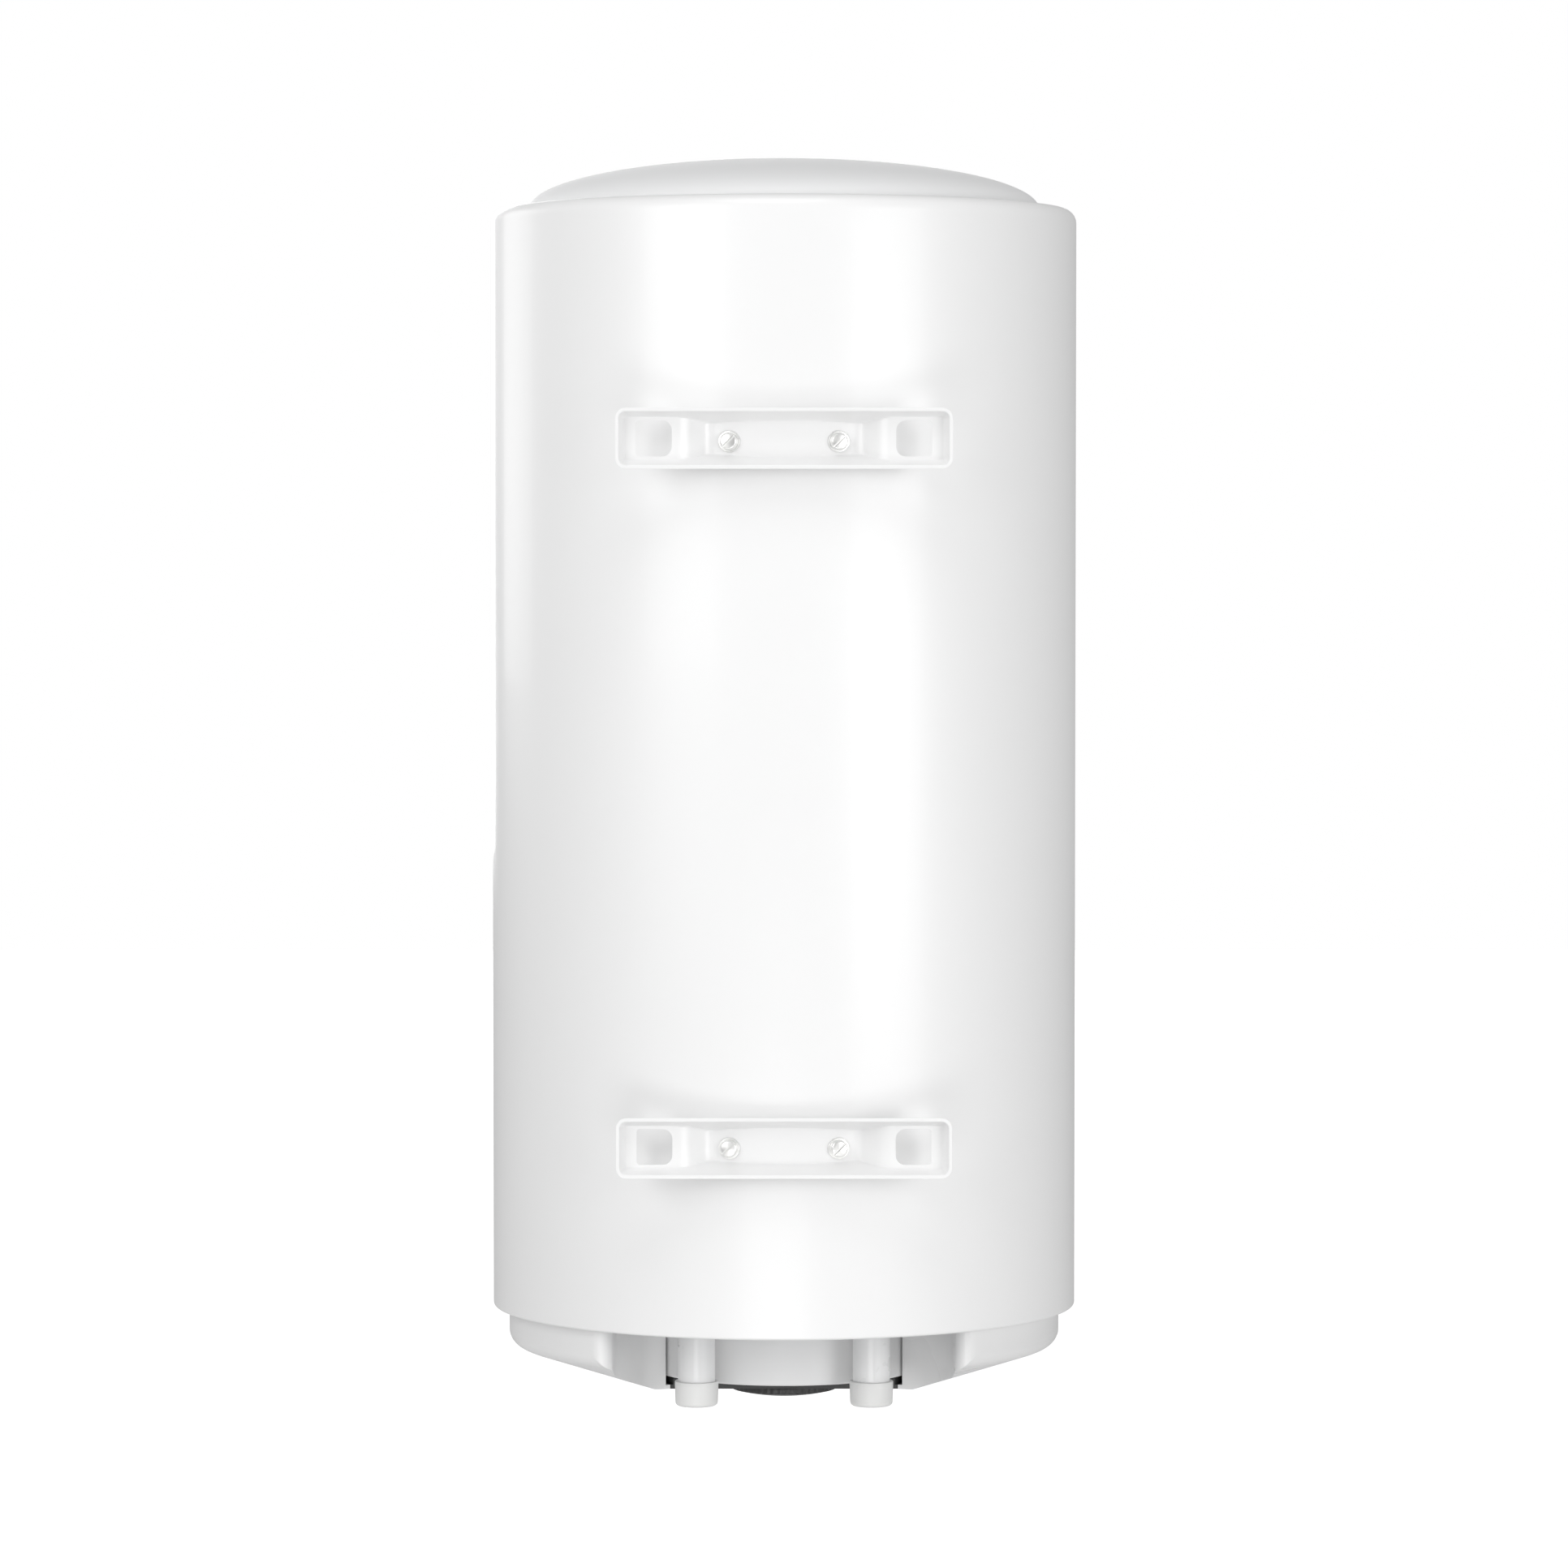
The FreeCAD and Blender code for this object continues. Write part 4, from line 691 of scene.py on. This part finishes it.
def make_bracket(name, node):
    """Pressed tray with its two hook holes cut through."""
    level = middle(node).z
    bm = bmesh.new()
    press_tray(bm, level)
    bracket = finish_piece(name, bm, "bracket_paint", "heater", node)
    for side in (-1, 1):
        carve(bracket, hook_cutter(side, level))
    bracket.data.set_sharp_from_angle(angle=SMOOTH_ANGLE)
    print(name, "holes cut:", len(bracket.data.polygons), "faces")


make_bracket("bracket_upper", "wall_bracket_upper")
make_bracket("bracket_lower", "wall_bracket_lower")

# %% [markdown]
# ## Bracket screws
#
# Two slotted screws hold each bracket to bosses on the tank. They stand square to the drum, so each
# leans outwards a little. A screw is spun about its own axis, slotted by cutting a thin block out of
# its head, and then turned into place. The washer under it has slightly rounded edges from stamping.

# %% Make the screws and washers
BOLT_SIDE = 30 * MM
BOLT_DROP = -1.5 * MM
SLOT_TURN = math.radians(43)
HEAD_RADIUS = 5.0 * MM
HEAD_TALL = 3.0 * MM
WASHER_RADIUS = 6.0 * MM
WASHER_TALL = 1.2 * MM
WASHER_HOLE = 3.2 * MM
SHANK_RADIUS = 3.0 * MM
SHANK_LONG = 18 * MM
washer_seat = saddle_radius + 0.1 * MM


def radial_place(side, level, start):
    """Matrix that stands an upright piece square to the drum, start away from the heater's axis."""
    lean = math.asin(side * BOLT_SIDE / casing_radius)
    out = Vector((math.sin(lean), math.cos(lean), 0))
    turn = out.to_track_quat("Z", "Y").to_matrix().to_4x4()
    centre = Vector((axis_x, axis_y, level + BOLT_DROP)) + out * start
    return Matrix.Translation(centre) @ turn


def screw_head(bm):
    """Slightly domed head with its seat on the origin, and a plain shank below it."""
    spin_outline(bm, rounded([
        (0, HEAD_TALL), (HEAD_RADIUS - 0.5 * MM, HEAD_TALL - 0.35 * MM, 1.2 * MM),
        (HEAD_RADIUS, 0.6 * MM, 0.6 * MM), (HEAD_RADIUS - 0.2 * MM, 0),
        (SHANK_RADIUS, 0), (SHANK_RADIUS, -SHANK_LONG), (0, -SHANK_LONG),
    ], closed=False), (0, 0), 48, closed=False)


def slot_cutter():
    """Thin block that reaches over the whole head and a little way into it."""
    bm = bmesh.new()
    bmesh.ops.create_cube(bm, size=1)
    bmesh.ops.scale(bm, vec=(14 * MM, 1.2 * MM, 2.4 * MM), verts=bm.verts)
    bmesh.ops.translate(bm, vec=(0, 0, HEAD_TALL), verts=bm.verts)
    return bm


def make_screws(name, node, level):
    """Two slotted screws in one piece, cut while they stand at the origin and then placed."""
    pair = bmesh.new()
    for side in (-1, 1):
        bm = bmesh.new()
        screw_head(bm)
        mesh = bpy.data.meshes.new("screw")
        bm.to_mesh(mesh)
        bm.free()
        screw = bpy.data.objects.new("screw", mesh)
        bpy.context.scene.collection.objects.link(screw)
        carve(screw, slot_cutter())
        place = radial_place(side, level, washer_seat + WASHER_TALL)
        screw.data.transform(place @ Matrix.Rotation(SLOT_TURN, 4, "Z"))
        pair.from_mesh(screw.data)
        used = screw.data
        bpy.data.objects.remove(screw)
        bpy.data.meshes.remove(used)
    finish_piece(name, pair, "zinc", "heater", node)


def make_washers(name, node, level):
    """The two washers under one bracket's screws, in one piece."""
    pair = bmesh.new()
    for side in (-1, 1):
        before = set(pair.verts)
        spin_outline(pair, rounded([
            (WASHER_HOLE, 0, 0.15 * MM), (WASHER_RADIUS, 0, 0.2 * MM),
            (WASHER_RADIUS, WASHER_TALL, 0.45 * MM), (WASHER_HOLE, WASHER_TALL, 0.15 * MM),
        ]), (0, 0), 64)
        new = [vert for vert in pair.verts if vert not in before]
        bmesh.ops.transform(pair, matrix=radial_place(side, level, washer_seat), verts=new)
    finish_piece(name, pair, "zinc", "heater", node)


for row in ("upper", "lower"):
    bracket_level = middle("wall_bracket_" + row).z
    make_screws(row + "_screws", row + "_bracket_screws", bracket_level)
    make_washers(row + "_rings", row + "_bracket_washers", bracket_level)

# %% [markdown]
# ## Water pipes
#
# The two stubs are half-inch pipe, painted white, thread and all. The thread is a true screw: a
# V-shaped strip one pitch tall is spun in small steps, and each step also lifts it by its share of a
# pitch, so every turn lands exactly on top of the one before. The strip's long edges sink into the
# plain core of the pipe, and its two short ends are left open.

# %% Make the pipes with their threads
PIPE_RADIUS = 10.65 * MM
PIPE_BORE = 8.0 * MM
CREST_RADIUS = 10.48 * MM
THREAD_PITCH = 1.814 * MM
THREAD_DEEP = 1.1 * MM
THREAD_TURNS = 5
THREAD_STEPS = 64
pipe_foot = low("cold_inlet_pipe").z
pipe_head = high("cold_inlet_pipe").z


def spin_thread(bm, centre, foot):
    """Helical skin of the thread, from foot upwards."""
    root = CREST_RADIUS - THREAD_DEEP
    outline = rounded([(root, 0), (CREST_RADIUS, THREAD_PITCH / 2, 0.2 * MM), (root, THREAD_PITCH)],
                      closed=False)
    verts = [bm.verts.new((centre[0] + point.x, centre[1], foot + point.y)) for point in outline]
    edges = [bm.edges.new(pair) for pair in zip(verts, verts[1:])]
    bmesh.ops.spin(bm, geom=verts + edges, cent=(centre[0], centre[1], 0), axis=(0, 0, 1),
                   dvec=(0, 0, THREAD_PITCH / THREAD_STEPS), angle=FULL_TURN * THREAD_TURNS,
                   steps=THREAD_STEPS * THREAD_TURNS)
    bmesh.ops.remove_doubles(bm, verts=bm.verts, dist=0.01 * MM)


def make_pipe(name, node):
    """Stub of pipe: a plain core with a threaded skin over its lower end."""
    centre = (round(middle(node).x, 4), round(middle(node).y, 4))
    collar = pipe_foot + 11.2 * MM
    root = CREST_RADIUS - THREAD_DEEP
    bm = bmesh.new()
    spin_thread(bm, centre, pipe_foot + 0.5 * MM)
    bmesh.ops.recalc_face_normals(bm, faces=bm.faces)
    core = bmesh.new()
    spin_outline(core, rounded([
        (PIPE_BORE, pipe_foot, 0.3 * MM), (root + 0.05 * MM, pipe_foot, 0.5 * MM),
        (root + 0.05 * MM, collar - 0.8 * MM), (PIPE_RADIUS, collar, 0.4 * MM),
        (PIPE_RADIUS, pipe_head), (PIPE_BORE, pipe_head),
    ]), centre, 96)
    mesh = bpy.data.meshes.new("core")
    core.to_mesh(mesh)
    core.free()
    bm.from_mesh(mesh)
    bpy.data.meshes.remove(mesh)
    finish_piece(name, bm, "pipe_paint", "heater", node)


make_pipe("cold_pipe", "cold_inlet_pipe")
make_pipe("hot_pipe", "hot_outlet_pipe")

# %% [markdown]
# ## Protective caps
#
# A soft plastic cap is pushed over each thread for transport. It has a thin wall, a rounded bottom
# and a slightly rolled lip, and the small dimple left in its end by the mould.

# %% Spin the caps
CAP_RADIUS = 12.45 * MM
CAP_WALL = 1.0 * MM


def make_cap(name, node, body):
    """Push-on cap, open at the top."""
    centre = (round(middle(node).x, 4), round(middle(node).y, 4))
    foot, head = low(node).z, high(node).z
    lip = head - 1.2 * MM
    spun_piece(name, [
        (0, foot + 0.35 * MM), (2.2 * MM, foot + 0.35 * MM, 0.3 * MM), (2.8 * MM, foot, 0.4 * MM),
        (CAP_RADIUS - 0.35 * MM, foot, 2.4 * MM), (CAP_RADIUS, head - 3 * MM, 3 * MM),
        (CAP_RADIUS, head, 0.55 * MM), (PIPE_RADIUS + 0.12 * MM, head, 0.3 * MM),
        (PIPE_RADIUS + 0.12 * MM, lip, 0.2 * MM), (CAP_RADIUS - CAP_WALL, lip - 0.3 * MM),
        (CAP_RADIUS - CAP_WALL, foot + CAP_WALL, 1.2 * MM), (0, foot + CAP_WALL),
    ], centre, 96, "cap_plastic", body, node)


make_cap("cold_cap_cover", "cold_inlet_cap", "cold_cap")
make_cap("hot_cap_cover", "hot_outlet_cap", "hot_cap")

# %% [markdown]
# ## Bowl
#
# The bowl under the casing is one moulding with a notch for the pipes, walled all round. Its shape
# is already right in the engineering part, but every edge is sharp, and moulded edges never are. So
# its mesh is copied, its triangles are welded into one skin, and the edges where it turns sharply
# are bevelled. The top edges stay inside the casing and are left alone.

# %% Soften the bowl's edges
BOWL_SOFTNESS = 0.8 * MM
HIDDEN_TALL = 4.5 * MM
SHARP_TURN = math.radians(35)


def make_bowl():
    """Copy of the engineering bowl with its visible edges rounded."""
    bm = bmesh.new()
    bm.from_mesh(frame["nodes"]["lower_cover"].data)
    bmesh.ops.remove_doubles(bm, verts=bm.verts, dist=0.001 * MM)
    shown = casing_foot + HIDDEN_TALL
    edges = [edge for edge in bm.edges if edge.calc_face_angle(0) > SHARP_TURN
             and max(vert.co.z for vert in edge.verts) < shown]
    bmesh.ops.bevel(bm, geom=edges, offset=BOWL_SOFTNESS, segments=3, profile=0.5, affect="EDGES",
                    material=-1, clamp_overlap=True)
    finish_piece("bowl_cover", bm, "lower_cover_plastic", "heater", "lower_cover")


make_bowl()

# %% [markdown]
# ## Thermostat knob
#
# The knob hangs under the service cover. Its face is a shallow lens with a pointer rib towards the
# front, and its rim is fluted for grip. The outline is spun first. The flutes are then pressed into
# the rim by pulling each point of it inwards with a wave that runs round the knob.

# %% Make the knob
KNOB_RIM_TALL = 7 * MM
HUB_RADIUS = 7 * MM
KNOB_FLUTES = 48
FLUTE_STEPS = 6
FLUTE_DEEP = 0.45 * MM
RIB_LONG = 13 * MM
RIB_WIDE = 2.4 * MM
knob_radius = high("thermostat_knob").x - axis_x
knob_foot = low("thermostat_knob").z
knob_face = knob_foot + KNOB_RIM_TALL
knob_head = high("thermostat_knob").z


def flute_rim(bm, centre):
    """Press a wave into every point on the knob's rim."""
    for vert in bm.verts:
        out = Vector((vert.co.x - centre[0], vert.co.y - centre[1]))
        if out.length > knob_radius - 0.3 * MM and vert.co.z > knob_foot + 3.5 * MM:
            wave = (1 + math.cos(KNOB_FLUTES * math.atan2(out.y, out.x))) / 2
            out *= 1 - FLUTE_DEEP * wave / out.length
            vert.co.x, vert.co.y = centre[0] + out.x, centre[1] + out.y


def rounded_bar(bm, length, width, height, soft):
    """Bar centred on the origin with softened edges. Returns its points."""
    before = set(bm.verts)
    bmesh.ops.create_cube(bm, size=1)
    verts = [vert for vert in bm.verts if vert not in before]
    bmesh.ops.scale(bm, vec=(width, length, height), verts=verts)
    edges = {edge for vert in verts for edge in vert.link_edges}
    bmesh.ops.bevel(bm, geom=list(edges), offset=soft, segments=3, profile=0.5, affect="EDGES",
                    material=-1)
    return [vert for vert in bm.verts if vert not in before]


def make_knob():
    """Lens-shaped knob with a fluted rim, a hollow hub and a pointer rib."""
    bm = bmesh.new()
    spin_outline(bm, rounded([
        (0, knob_foot), (0.5 * knob_radius, knob_foot, 100 * MM),
        (knob_radius, knob_foot + 3.6 * MM, 0.9 * MM), (knob_radius, knob_face, 0.4 * MM),
        (knob_radius - 2 * MM, knob_face, 0.4 * MM), (knob_radius - 2 * MM, knob_foot + 5.4 * MM),
        (HUB_RADIUS, knob_foot + 3 * MM), (HUB_RADIUS, knob_head, 0.4 * MM),
        (HUB_RADIUS / 2, knob_head), (HUB_RADIUS / 2, knob_foot + 4 * MM), (0, knob_foot + 4 * MM),
    ]), heater_axis, KNOB_FLUTES * FLUTE_STEPS)
    flute_rim(bm, heater_axis)
    rib = rounded_bar(bm, RIB_LONG, RIB_WIDE, 3 * MM, 0.7 * MM)
    place = (axis_x, axis_y - knob_radius + 3 * MM + RIB_LONG / 2 - 1.5 * MM, knob_foot + 1.9 * MM)
    bmesh.ops.translate(bm, vec=place, verts=rib)
    finish_piece("control_knob", bm, "knob_plastic", "knob", "thermostat_knob")


make_knob()

# %% [markdown]
# ## Scale marks
#
# Low moulded bars on the service cover show how far the knob is turned. They fill the same three
# quarters of a turn as the knob's own travel, and every third one is longer.

# %% Mould the scale marks
MARK_COUNT = 13
MARK_TRAVEL = math.radians(270)
MARK_INNER = 34.0 * MM
MARK_TALL = 0.35 * MM


def make_marks():
    """Ring of raised bars on the underside of the service cover."""
    face = low("service_cover").z
    bm = bmesh.new()
    for index in range(MARK_COUNT):
        length = (4.6 if index % 3 == 0 else 2.8) * MM
        bar = rounded_bar(bm, length, 0.9 * MM, 2 * MARK_TALL, 0.15 * MM)
        turn = Matrix.Rotation(-MARK_TRAVEL * index / (MARK_COUNT - 1), 4, "Z")
        start = Matrix.Translation((0, -MARK_INNER - length / 2, 0))
        centre = Matrix.Translation((axis_x, axis_y, face))
        bmesh.ops.transform(bm, matrix=centre @ turn @ start, verts=bar)
    finish_piece("scale_marks", bm, "hatch_plastic", "heater")


make_marks()

# %% [markdown]
# ## Last look at the sizes
#
# The engineering model's box, taken at the start, is printed here.

# %% Print the engineering box
print("engineering box", cad_box)
